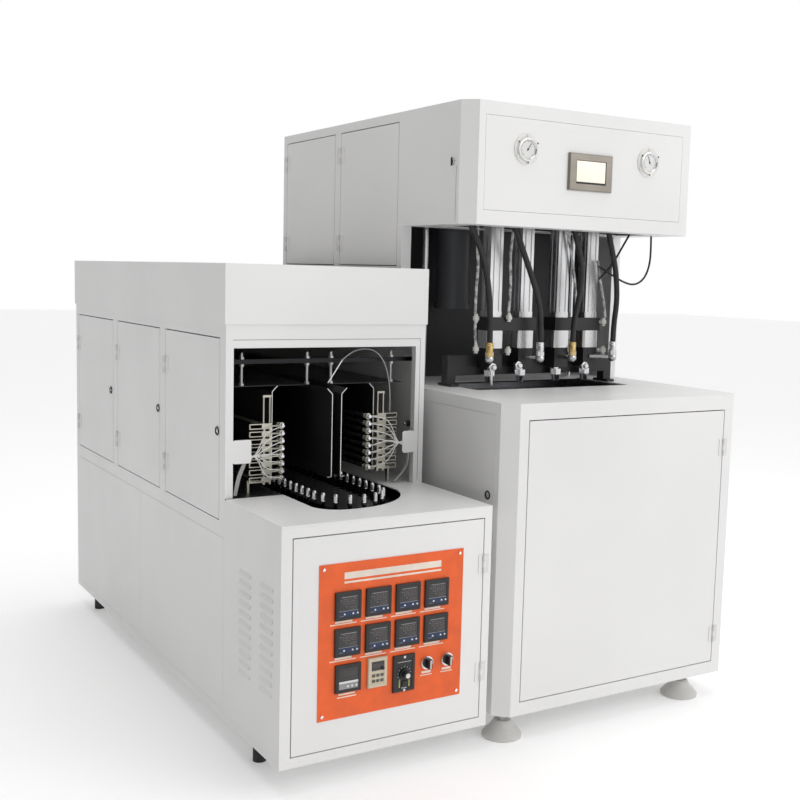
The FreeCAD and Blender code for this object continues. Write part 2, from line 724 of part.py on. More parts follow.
def sprocket(y, shaft_z0):
    z0 = TRACK_Z + 2.5
    disc = Part.makeCylinder(PITCH_R + 1, SPROCKET_T, V(OVEN_X, y, z0))
    for k in range(TEETH):
        turn = 2 * math.pi * k / TEETH
        x1 = OVEN_X + PITCH_R * math.cos(turn)
        y1 = y + PITCH_R * math.sin(turn)
        disc = disc.cut(rod(ROLLER_D + 0.8, (x1, y1, z0 - 1), (x1, y1, z0 + SPROCKET_T + 1)))
    hub = rod(50, (OVEN_X, y, z0 + SPROCKET_T - 1), (OVEN_X, y, z0 + SPROCKET_T + 12))
    shaft = rod(SHAFT_D, (OVEN_X, y, shaft_z0), (OVEN_X, y, z0 + SPROCKET_T + 12))
    return fuse([disc, hub, shaft])


ISLAND_Z = TRACK_Z + 27


def chain_track():
    x0, x1 = WINDOW_X0 + FIT, WINDOW_X1 - FIT
    y0, y1 = FRONT + 40, REAR_SPROCKET_Y + PITCH_R + 60
    plate = box(x0, x1, y0, y1, TRACK_Z - 3, TRACK_Z)
    island = fuse([box(OVEN_X - 74, OVEN_X + 74, FRONT_SPROCKET_Y, REAR_SPROCKET_Y, ISLAND_Z - 3, ISLAND_Z),
                   Part.makeCylinder(74, 3, V(OVEN_X, FRONT_SPROCKET_Y, ISLAND_Z - 3)),
                   Part.makeCylinder(74, 3, V(OVEN_X, REAR_SPROCKET_Y, ISLAND_Z - 3))])
    pieces = [plate, island]
    span = REAR_SPROCKET_Y - FRONT_SPROCKET_Y
    for share in (0.12, 0.5, 0.88):
        y = FRONT_SPROCKET_Y + share * span
        pieces.append(rod(20, (OVEN_X, y, TRACK_Z - 1), (OVEN_X, y, ISLAND_Z - 2)))
    for y in (FRONT_SPROCKET_Y, REAR_SPROCKET_Y):
        pieces.append(rod(50, (OVEN_X, y, BUSH_Z0), (OVEN_X, y, TRACK_Z - 2)))
    track = fuse(pieces)
    for y in (FRONT_SPROCKET_Y, REAR_SPROCKET_Y):
        track = track.cut(rod(SHAFT_D + 2 * RUN, (OVEN_X, y, BUSH_Z0 - 1), (OVEN_X, y, TRACK_Z + 1)))
    return track


def chain_motor():
    y = REAR_SPROCKET_Y
    top = BUSH_Z0 - FIT
    gear = box(OVEN_X - 60, OVEN_X + 60, y - 60, y + 60, top - 80, top)
    motor = rod(110, (OVEN_X, y - 59, top - 56), (OVEN_X, y - 250, top - 56))
    cowl = rod(116, (OVEN_X, y - 250, top - 56), (OVEN_X, y - 290, top - 56))
    unit = fuse([gear, motor, cowl])
    return unit.cut(rod(SHAFT_D + 2 * RUN, (OVEN_X, y, top - 81), (OVEN_X, y, top + 1)))


nodes["lamp_racks"] = group([lamp_rack(-1), lamp_rack(1)])
nodes["oven_lamps"] = oven_lamps()
nodes["reflectors"] = reflectors()
nodes["oven_top_sheets"] = oven_top_sheets()
nodes["oven_hangers"] = oven_hangers()
nodes["chain_track"] = chain_track()
nodes["chain_links"] = chain_links()
nodes["preform_holders"] = preform_holders()
nodes["front_sprocket"] = sprocket(FRONT_SPROCKET_Y, BUSH_Z0 - 6)
nodes["rear_sprocket"] = sprocket(REAR_SPROCKET_Y, BUSH_Z0 - 70)
nodes["chain_motor"] = chain_motor()


# ---------------------------------------------------------------- press: base and deck
FRONT_DOOR = (728.0, 1468.0, 112.0, 905.0)
SIDE_PANEL = (-300.0, 330.0, 112.0, 915.0)
HEAD_PANEL = (720.0, 1470.0, 1476.0, 1742.0)
COLUMN_DOORS = ((261.0, 653.0), (693.0, 1086.0))
COLUMN_DOOR_Z0 = HEATER_H + 8
COLUMN_DOOR_Z1 = 1752.0
DECK_MOUTH = (BLOW_X - 295, BLOW_X + 295, -20.0, 246.0)


def outline(front, back, inset, z):
    """The press's plan: 45 degree corners in front, set in by a wall thickness."""
    corner = CORNER - inset * (2 - math.sqrt(2))
    x0, x1 = PRESS_X0 + inset, PRESS_X1 - inset
    y0, y1 = front + inset, back - inset
    return [(x0, y0 + corner, z), (x0 + corner, y0, z), (x1 - corner, y0, z),
            (x1, y0 + corner, z), (x1, y1, z), (x0, y1, z)]


def press_block(front, back, inset, z0, z1):
    return prism(outline(front, back, inset, z0), (0, 0, z1 - z0))


def ring(face, at, opening):
    c0, c1, d0, d1 = opening
    outer = slab(face, at, RETURN, c0 - SHEET, c1 + SHEET, d0 - SHEET, d1 + SHEET)
    return outer


def open_up(shell, face, at, openings):
    """Adds the folded returns round each opening and cuts it through."""
    shell = fuse([shell] + [ring(face, at, opening) for opening in openings])
    for (c0, c1, d0, d1) in openings:
        shell = shell.cut(slab(face, outward(face, at, 1), RETURN + 2, c0, c1, d0, d1))
    return shell


def press_base():
    top = DECK_Z - DECK_T
    wall = PRESS_WALL
    outer = press_block(FRONT, PRESS_BACK, 0, PRESS_Z, top)
    inner = press_block(FRONT, PRESS_BACK, wall, PRESS_Z + wall, top - wall)
    mouth = press_block(FRONT, PRESS_BACK, RETURN + wall, top - wall - 1, top + 1)
    shell = outer.cut(inner).cut(mouth)
    shell = open_up(shell, "front", FRONT, [FRONT_DOOR])
    return open_up(shell, "left", PRESS_X0, [SIDE_PANEL])


def deck():
    plate = press_block(FRONT, PRESS_BACK, 0, DECK_Z - DECK_T, DECK_Z)
    x0, x1, y0, y1 = DECK_MOUTH
    return plate.cut(box(x0, x1, y0, y1, DECK_Z - DECK_T - 1, DECK_Z + 1))


def press_feet():
    feet = []
    profile = [(0, 0), (56, 0), (57, 8), (50, 16), (36, 30), (27, 44), (24, 48), (0, 48)]
    wire = Part.makePolygon([V(r, 0, z) for r, z in profile] + [V(0, 0, 0)])
    bell = Part.Face(wire).revolve(V(0, 0, 0), V(0, 0, 1), 360)
    for x in (PRESS_X0 + 54, PRESS_X1 - 146):
        for y in (-305.0, PRESS_BACK - 60):
            cup = bell.copy()
            cup.translate(V(x, y, 0))
            stem = rod(20, (x, y, 44), (x, y, PRESS_Z))
            nut = hexagon(x, y, PRESS_Z - 17, 32, 16.7)
            feet.append(fuse([cup, stem, nut]))
    return group(feet)


nodes["press_base"] = press_base()
nodes["deck"] = deck()
nodes["press_feet"] = press_feet()
door("press_front_door", "front", FRONT, FRONT_DOOR, -1,
     (FRONT_DOOR[2] + 65, FRONT_DOOR[3] - 141), hinge_leaves, 110)
c0, c1, d0, d1 = grow(SIDE_PANEL, -PANEL_GAP)
nodes["press_side_panel"] = pan("left", PRESS_X0, c0, c1, d0, d1, LEAF_SHEET, RETURN - 4)


# ---------------------------------------------------------------- press: column and head
def upper_housing():
    wall = PRESS_WALL
    column = box(PRESS_X0, PRESS_X1, COLUMN_FRONT, PRESS_BACK, DECK_Z, PRESS_H)
    head = press_block(HEAD_FRONT, PRESS_BACK, 0, HEAD_Z0, PRESS_H)
    column_in = box(PRESS_X0 + wall, PRESS_X1 - wall, COLUMN_FRONT + wall, PRESS_BACK - wall,
                    DECK_Z - 1, PRESS_H - wall)
    head_in = press_block(HEAD_FRONT, PRESS_BACK, wall, HEAD_Z0 + wall, PRESS_H - wall)
    shell = column.fuse(head).cut(column_in).cut(head_in)
    cheek = 34.0
    shell = shell.cut(box(PRESS_X0 + cheek, PRESS_X1 - cheek, COLUMN_FRONT - 1, COLUMN_FRONT + wall + 1,
                          DECK_Z - 1, HEAD_Z0))
    shell = shell.cut(box(BLOW_X - 345, BLOW_X + 345, -34, 132, HEAD_Z0 - 1, HEAD_Z0 + wall + 1))
    shell = open_up(shell, "front", HEAD_FRONT, [HEAD_PANEL])
    doors = [(y0, y1, COLUMN_DOOR_Z0, COLUMN_DOOR_Z1) for (y0, y1) in COLUMN_DOORS]
    return open_up(shell, "left", PRESS_X0, doors), doors


housing, column_doors = upper_housing()
nodes["upper_housing"] = housing
for number, place in enumerate(column_doors, 1):
    door("column_door_%d" % number, "left", PRESS_X0, place, -1,
         (COLUMN_DOOR_Z0 + 50, COLUMN_DOOR_Z1 - 100), hinge_leaves, 100)
nodes["hinge_frames"] = group(hinge_leaves)

SCREEN = (1016.0, 1182.0, 1550.0, 1659.0)
GAUGES = ((864.0, 1655.0), (1330.0, 1652.0))
GAUGE_FLANGE = 88.0
GAUGE_DIAL = 62.0


def head_panel():
    c0, c1, d0, d1 = grow(HEAD_PANEL, -PANEL_GAP)
    panel = pan("front", HEAD_FRONT, c0, c1, d0, d1, LEAF_SHEET, RETURN - 4)
    x0, x1, z0, z1 = grow(SCREEN, -8 + FIT)
    panel = panel.cut(box(x0, x1, HEAD_FRONT - 1, HEAD_FRONT + 5, z0, z1))
    for (x, z) in GAUGES:
        panel = panel.cut(rod(GAUGE_DIAL + 2 * FIT, (x, HEAD_FRONT - 1, z), (x, HEAD_FRONT + 5, z)))
    return panel


def touch_screen():
    x0, x1, z0, z1 = SCREEN
    face = HEAD_FRONT
    bezel = box(x0, x1, face - 9, face, z0, z1)
    front_edges = [e for e in bezel.Edges if e.BoundBox.YMax < face - 8.9]
    bezel = bezel.makeChamfer(3, front_edges)
    body = box(x0 + 8, x1 - 8, face, face + 35, z0 + 8, z1 - 8)
    glass = box(x0 + 26, x1 - 26, face - 10, face - 7.5, z0 + 20, z1 - 20)
    return bezel.fuse(body).cut(glass).removeSplitter()


def pressure_gauges():
    gauges = []
    for (x, z) in GAUGES:
        y = HEAD_FRONT
        flange = rod(GAUGE_FLANGE, (x, y, z), (x, y - 3, z))
        rim = rod(GAUGE_DIAL + 6, (x, y - 3, z), (x, y - 10, z))
        case = rod(GAUGE_DIAL, (x, y, z), (x, y + 34, z))
        stem = rod(14, (x, y + 33, z), (x, y + 60, z))
        dish = rod(GAUGE_DIAL - 2, (x, y - 11, z), (x, y - 6, z))
        screws = []
        for k in range(3):
            turn = math.radians(90 + 120 * k)
            sx, sz = x + 39 * math.cos(turn), z + 39 * math.sin(turn)
            screws.append(rod(7, (sx, y - 2, sz), (sx, y - 5.5, sz)))
        gauges.append(fuse([flange, rim, case, stem] + screws).cut(dish))
    return group(gauges)


nodes["head_panel"] = head_panel()
nodes["touch_screen"] = touch_screen()
nodes["pressure_gauges"] = pressure_gauges()


# ---------------------------------------------------------------- press: blowing stations
BEAM_Z = 1452.0
BEAM_T = 12.0
CYL_Z0 = 1165.0
CYL_Z1 = 1520.0
CLAMP_Z0 = 1124.0
BLOW_Z0 = 1069.0
CARRIER_Z0 = 1006.0
NOZZLE_Z0 = 962.0
NOZZLE_D = 20.0
ROD_Z0 = 972.0
ROD_Z1 = 1505.0
LINER_Y = 420.0
LIFT_X = BLOW_X - 180
LIFT_Y = 318.0
GUIDE_X = 297.0
GUIDE_Y = 300.0


def station_xs():
    return [BLOW_X + offset for offset in STATIONS]


def square_bar(x, y, side, z0, z1):
    return box(x - side / 2, x + side / 2, y - side / 2, y + side / 2, z0, z1)


def cylinder_beam():
    x0, x1 = PRESS_X0 + RETURN + FIT, PRESS_X1 - PRESS_WALL - FIT
    beam = box(x0, x1, 30, LIFT_Y + 60, BEAM_Z, BEAM_Z + BEAM_T)
    for x in station_xs():
        beam = beam.cut(square_bar(x, BLOW_Y, CYL + 2 * FIT, BEAM_Z - 1, BEAM_Z + BEAM_T + 1))
    return beam


def stretch_cylinders():
    """Square aluminium profile with two grooves a side, and end caps."""
    cylinders = []
    for x in station_xs():
        profile = square_bar(x, BLOW_Y, CYL, CYL_Z0 + 17, CYL_Z1)
        for offset in (-11.0, 11.0):
            for way in (-1, 1):
                face = way * CYL / 2
                profile = profile.cut(box(x + offset - 2.5, x + offset + 2.5, BLOW_Y + face - 3,
                                          BLOW_Y + face + 3, CYL_Z0, CYL_Z1 + 1))
                profile = profile.cut(box(x + face - 3, x + face + 3, BLOW_Y + offset - 2.5,
                                          BLOW_Y + offset + 2.5, CYL_Z0, CYL_Z1 + 1))
        cap = square_bar(x, BLOW_Y, CYL + 5, CYL_Z0, CYL_Z0 + 18)
        cap = cap.makeChamfer(3, [e for e in cap.Edges if e.BoundBox.ZLength > 10])
        bore = rod(ROD_D + 2 * RUN, (x, BLOW_Y, CYL_Z0 - 1), (x, BLOW_Y, CYL_Z1 + 1))
        cylinders.append(fuse([profile, cap]).cut(bore))
    return group(cylinders)


def clamp_bars():
    bars = []
    xs = station_xs()
    for a, b in ((xs[0], xs[1]), (xs[2], xs[3])):
        bar = box(a - 33, b + 33, BLOW_Y - 33, BLOW_Y + 33, CLAMP_Z0, CYL_Z0)
        for x in (a, b):
            bar = bar.cut(rod(14, (x, BLOW_Y, CLAMP_Z0 - 1), (x, BLOW_Y, CYL_Z0 + 1)))
        bars.append(bar)
    return group(bars)


def blow_cylinders():
    blocks = []
    for x in station_xs():
        block = square_bar(x, BLOW_Y, BLOW_CYL, BLOW_Z0, CLAMP_Z0)
        block = block.makeChamfer(6, [e for e in block.Edges if e.BoundBox.ZLength > 10])
        blocks.append(block.cut(rod(14, (x, BLOW_Y, BLOW_Z0 - 1), (x, BLOW_Y, CLAMP_Z0 + 1))))
    return group(blocks)


def nozzle_carrier():
    """Black beam on two posts, with a guide block at each station."""
    half = 325.0
    y0 = BLOW_Y + 26
    pieces = [box(BLOW_X - half, BLOW_X + half, y0, y0 + 34, 985, 1045)]
    for side in (-1, 1):
        x = BLOW_X + side * (half - 15)
        pieces.append(box(x - 15, x + 15, y0, y0 + 34, DECK_Z, 1045))
        pieces.append(box(x - 15, x + 15, y0 - 20, y0 + 54, DECK_Z, DECK_Z + 8))
    for x in station_xs():
        pieces.append(square_bar(x, BLOW_Y, 54, CARRIER_Z0, BLOW_Z0))
    carrier = fuse(pieces)
    for x in station_xs():
        bore = rod(NOZZLE_D + 2 * RUN, (x, BLOW_Y, CARRIER_Z0 - 1), (x, BLOW_Y, BLOW_Z0 + 1))
        carrier = carrier.cut(bore)
    return carrier


def blow_nozzles():
    nozzles = []
    for x in station_xs():
        shank = rod(NOZZLE_D, (x, BLOW_Y, NOZZLE_Z0), (x, BLOW_Y, BLOW_Z0 - 9))
        collar = hexagon(x, BLOW_Y, NOZZLE_Z0 + 20, 32, 18)
        tip = Part.makeCone(11, 14, 20.5, V(x, BLOW_Y, NOZZLE_Z0))
        bore = rod(13, (x, BLOW_Y, NOZZLE_Z0 - 1), (x, BLOW_Y, BLOW_Z0))
        nozzles.append(fuse([shank, collar, tip]).cut(bore))
    return group(nozzles)


def stretch_rods():
    return group([rod(ROD_D, (x, BLOW_Y, ROD_Z0), (x, BLOW_Y, ROD_Z1)) for x in station_xs()])


def guide_rods():
    return group([rod(20, (BLOW_X + side * GUIDE_X, GUIDE_Y, DECK_Z),
                      (BLOW_X + side * GUIDE_X, GUIDE_Y, BEAM_Z)) for side in (-1, 1)])


def lift_cylinder():
    body = rod(110, (LIFT_X, LIFT_Y, 1200), (LIFT_X, LIFT_Y, BEAM_Z))
    cap = rod(118, (LIFT_X, LIFT_Y, 1182), (LIFT_X, LIFT_Y, 1202))
    return fuse([body, cap])


def inner_liner():
    x0, x1 = PRESS_X0 + RETURN + FIT, PRESS_X1 - PRESS_WALL - FIT
    return box(x0, x1, LINER_Y, LINER_Y + LEAF_SHEET, DECK_Z, 1640)


nodes["cylinder_beam"] = cylinder_beam()
nodes["stretch_cylinders"] = stretch_cylinders()
nodes["clamp_bars"] = clamp_bars()
nodes["blow_cylinders"] = blow_cylinders()
nodes["nozzle_carrier"] = nozzle_carrier()
nodes["blow_nozzles"] = blow_nozzles()
nodes["stretch_rods"] = stretch_rods()
nodes["guide_rods"] = guide_rods()
nodes["lift_cylinder"] = lift_cylinder()
nodes["inner_liner"] = inner_liner()


# ---------------------------------------------------------------- press: hoses
HOSE_D = 18.0
HOSE_ROUTES = (
    ((-336, -8, 1448), (-311, -8, 1405), (-277, -4, 1340), (-256, 0, 1265), (-245, 4, 1195),
     (-239, 8, 1140), (-239, 8, 1090)),
    ((-176, -8, 1448), (-148, -8, 1390), (-118, -6, 1330), (-88, -3, 1270), (-62, 1, 1208),
     (-51, 4, 1150), (-51, 4, 1090)),
    ((54, -8, 1448), (72, -8, 1395), (93, -6, 1340), (98, -3, 1285), (92, 1, 1220),
     (76, 4, 1150), (76, 4, 1090)),
    ((191, -8, 1448), (209, -8, 1392), (229, -6, 1335), (243, -2, 1275), (250, 2, 1212),
     (244, 6, 1145), (244, 6, 1090)),
)


def tube_path(points):
    """Straight runs joined by tangent arcs, each as large as its two runs allow."""
    points = [V(*p) for p in points]
    edges = []
    radii = []
    start = points[0]
    for k in range(1, len(points) - 1):
        before = points[k] - points[k - 1]
        after = points[k + 1] - points[k]
        turn = before.getAngle(after)
        if turn < math.radians(0.5):
            continue
        reach = 0.45 * min(before.Length, after.Length)
        radius = reach / math.tan(turn / 2)
        radii.append(radius)
        inward = (after.normalize() - before.normalize()).normalize()
        a = points[k] - before * reach
        b = points[k] + after * reach
        centre_reach = radius / math.cos(turn / 2)
        middle = points[k] + inward * (centre_reach - radius)
        edges.append(Part.LineSegment(start, a).toShape())
        edges.append(Part.Arc(a, middle, b).toShape())
        start = b
    edges.append(Part.LineSegment(start, points[-1]).toShape())
    return Part.Wire(edges), radii


def tube(points, diameter, name):
    path, radii = tube_path(points)
    first = V(*points[1]) - V(*points[0])
    section = Part.Wire(Part.makeCircle(diameter / 2, V(*points[0]), first))
    solid = path.makePipeShell([section], True, False)
    if not solid.isValid() or solid.Volume < 0.9 * math.pi * diameter ** 2 / 4 * path.Length:
        raise ValueError("bad tube " + name)
    print(name, "length %.0f mm, smallest radius %.0f mm" % (path.Length, min(radii)))
    return solid


def hose_routes():
    return [[(BLOW_X + x, y, z) for (x, y, z) in route] for route in HOSE_ROUTES]


def air_hoses():
    return group([tube(route, HOSE_D, "air hose %d" % number)
                  for number, route in enumerate(hose_routes(), 1)])


def hose_fittings():
    """Ferrule, elbow and banjo at each hose's lower end, screwed to its blowing block."""
    fittings = []
    for route, x in zip(hose_routes(), station_xs()):
        hx, hy, hz = route[-1]
        ferrule = rod(HOSE_D + 4, (hx, hy, hz), (hx, hy, hz - 30))
        nut = hexagon(hx, hy, hz - 42, 24, 13)
        ball = Part.makeSphere(14, V(hx, hy, hz - 50))
        run = V(x, BLOW_Y - 27, hz - 50) - V(hx, hy, hz - 50)
        arm = Part.makeCylinder(6.5, run.Length, V(hx, hy, hz - 50), run)
        arm = arm.cut(box(x - 60, x + 60, BLOW_Y - 27, BLOW_Y + 40, hz - 80, hz))
        fittings.append(fuse([ferrule, nut, ball, arm]))
    return group(fittings)


nodes["air_hoses"] = air_hoses()
nodes["hose_fittings"] = hose_fittings()


# ---------------------------------------------------------------- press: mould clamp
BED_Z = 480.0
PLATEN_T = 32.0
PLATEN_HALF = 330.0
TIE_X = 300.0
TIE_Z = (550.0, 880.0)
PARTING_Y = BLOW_Y
FRONT_PLATEN_Y = PARTING_Y - MOULD_T - PLATEN_T
REAR_PLATEN_Y = PARTING_Y + MOULD_OPEN + MOULD_T
END_PLATE_Y = 768.0
CLAMP_Z = 715.0
RAM_D = 45.0
CAVITY_D = 70.0
NECK_D = 28.0


def tie_places():
    return [(BLOW_X + side * TIE_X, z) for side in (-1, 1) for z in TIE_Z]


def platen(y, z0):
    plate = box(BLOW_X - PLATEN_HALF, BLOW_X + PLATEN_HALF, y, y + PLATEN_T, z0, 930)
    for (x, z) in tie_places():
        plate = plate.cut(rod(TIE_D + 2 * RUN, (x, y - 1, z), (x, y + PLATEN_T + 1, z)))
    return plate


def clamp_frame():
    """Bed, fixed front platen and rear end plate, welded, on four legs."""
    x0, x1 = PRESS_X0 + RETURN + FIT, PRESS_X1 - PRESS_WALL - FIT
    y0, y1 = FRONT_PLATEN_Y, END_PLATE_Y + PLATEN_T
    bed = box(x0, x1, y0, y1, BED_Z, BED_Z + 20)
    legs = []
    for x in (x0 + 40, x1 - 80):
        for y in (y0 + 10, y1 - 60):
            legs.append(box(x, x + 50, y, y + 50, PRESS_Z + PRESS_WALL, BED_Z))
    front = platen(FRONT_PLATEN_Y, BED_Z)
    rear = platen(END_PLATE_Y, BED_Z)
    return fuse([bed, front, rear] + legs)


def tie_bars():
    bars = []
    for (x, z) in tie_places():
        y0, y1 = FRONT_PLATEN_Y, END_PLATE_Y + PLATEN_T
        bars.append(rod(TIE_D, (x, y0 - 20, z), (x, y1 + 20, z)).fuse(
            [rod(TIE_D + 20, (x, y0, z), (x, y0 - 16, z)), rod(TIE_D + 20, (x, y1, z), (x, y1 + 16, z))]
        ).removeSplitter())
    return group(bars)


def mould_half(y):
    half = box(BLOW_X - MOULD_W / 2, BLOW_X + MOULD_W / 2, y, y + MOULD_T, MOULD_Z0, MOULD_Z1)
    parting = y + MOULD_T if y < PARTING_Y else y
    for x in station_xs():
        half = half.cut(rod(CAVITY_D, (x, parting, MOULD_Z0 + 40), (x, parting, MOULD_Z1 - 40)))
        half = half.cut(rod(NECK_D, (x, parting, MOULD_Z1 - 41), (x, parting, MOULD_Z1 + 1)))
    return half


def rear_platen():
    plate = platen(REAR_PLATEN_Y, BED_Z + 40)
    ram = rod(RAM_D, (BLOW_X, REAR_PLATEN_Y + PLATEN_T - 1, CLAMP_Z),
              (BLOW_X, END_PLATE_Y - 28, CLAMP_Z))
    return plate.fuse(ram).removeSplitter()


def clamp_cylinder():
    y0, y1 = END_PLATE_Y - 208, END_PLATE_Y
    body = fuse([rod(120, (BLOW_X, y0, CLAMP_Z), (BLOW_X, y1, CLAMP_Z)),
                 square_bar_y(BLOW_X, CLAMP_Z, 140, y1 - 20, y1),
                 square_bar_y(BLOW_X, CLAMP_Z, 140, y0, y0 + 20)])
    bore = rod(RAM_D + 2 * RUN, (BLOW_X, y0 - 1, CLAMP_Z), (BLOW_X, y1 - 22, CLAMP_Z))
    return body.cut(bore)


def square_bar_y(x, z, side, y0, y1):
    return box(x - side / 2, x + side / 2, y0, y1, z - side / 2, z + side / 2)


nodes["clamp_frame"] = clamp_frame()
nodes["tie_bars"] = tie_bars()
nodes["mould_front"] = mould_half(PARTING_Y - MOULD_T)
nodes["mould_rear"] = mould_half(PARTING_Y + MOULD_OPEN)
nodes["rear_platen"] = rear_platen()
nodes["clamp_cylinder"] = clamp_cylinder()


# ---------------------------------------------------------------- origin and files
whole = Part.makeCompound(list(nodes.values())).BoundBox
SHIFT = V(-(whole.XMin + whole.XMax) / 2, -(whole.YMin + whole.YMax) / 2, -whole.ZMin)


def main():
    os.makedirs("parts", exist_ok=True)
    for name, shape in nodes.items():
        moved = shape.copy()
        moved.translate(SHIFT)
        moved.exportStep("parts/%s.step" % name)
    print("%d nodes, %.0f x %.0f x %.0f mm" % (len(nodes), whole.XLength, whole.YLength, whole.ZLength))
    for name, joint in JOINTS.items():
        pin = joint["pin"]
        place = (name, pin[0] + SHIFT.x, pin[1] + SHIFT.y, joint["swing"])
        print("%s pin at %.2f, %.2f, opens %.0f degrees" % place)
    closing = MOULD_OPEN - CLOSED_GAP
    strokes = (closing, ROD_TRAVEL, NOZZLE_TRAVEL)
    print("strokes: mould %.1f, stretch rods %.1f, blow nozzles %.1f mm" % strokes)
    print("origin at building coordinates %.2f, %.2f, %.2f" % (-SHIFT.x, -SHIFT.y, -SHIFT.z))


main()
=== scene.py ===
import bpy
import bmesh
import math
from mathutils import Matrix, Vector


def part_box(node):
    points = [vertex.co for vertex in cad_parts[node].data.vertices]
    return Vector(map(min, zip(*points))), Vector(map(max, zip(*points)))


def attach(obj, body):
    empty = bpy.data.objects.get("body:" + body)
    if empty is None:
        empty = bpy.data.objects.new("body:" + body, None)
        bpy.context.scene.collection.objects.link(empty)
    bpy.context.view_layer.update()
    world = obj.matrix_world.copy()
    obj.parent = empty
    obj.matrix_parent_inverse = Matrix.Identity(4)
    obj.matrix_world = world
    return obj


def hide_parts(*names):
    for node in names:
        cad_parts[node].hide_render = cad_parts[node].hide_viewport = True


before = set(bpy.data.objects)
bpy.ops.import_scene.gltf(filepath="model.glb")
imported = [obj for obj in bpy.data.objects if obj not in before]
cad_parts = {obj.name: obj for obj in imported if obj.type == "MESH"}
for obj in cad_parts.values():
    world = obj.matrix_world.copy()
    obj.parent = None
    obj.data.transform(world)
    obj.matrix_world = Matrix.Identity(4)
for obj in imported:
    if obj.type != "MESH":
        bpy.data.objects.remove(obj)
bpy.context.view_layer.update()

# Sizes below are in millimetres in the frame that the part is built in: X = 0 is the
# heater hood's left side, Y = 0 its front and Z = 0 the floor.
HOOD_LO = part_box("heater_hood")[0]
MM = 0.001
FRONTWARD = (0, -1, 0)
LEFTWARD = (-1, 0, 0)


def at(x, y, z):
    return Vector((HOOD_LO.x + x * MM, HOOD_LO.y + y * MM, z * MM))


# ---------------------------------------------------------------- camera
LENS = 50.85
camera_data = bpy.data.cameras.new("camera")
camera_data.sensor_width = 36.0
camera_data.lens = LENS
camera_data.shift_x = -0.05
camera = bpy.data.objects.new("camera", camera_data)
bpy.context.scene.collection.objects.link(camera)
AZ, PITCH, ROLL = 0.5605, -0.1101, 0.0277
ahead = Vector((math.sin(AZ) * math.cos(PITCH), math.cos(AZ) * math.cos(PITCH), math.sin(PITCH)))
level = Vector((math.cos(AZ), -math.sin(AZ), 0))
upward = level.cross(ahead)
right = level * math.cos(ROLL) + upward * math.sin(ROLL)
top = upward * math.cos(ROLL) - level * math.sin(ROLL)
turn = Matrix((right, top, -ahead)).transposed().to_4x4()
camera.matrix_world = Matrix.Translation(at(-1091.5, -2805.5, 1289.0)) @ turn
camera_data.clip_start = 0.05
camera_data.clip_end = 60
bpy.context.scene.camera = camera
bpy.context.scene.view_settings.view_transform = "Standard"


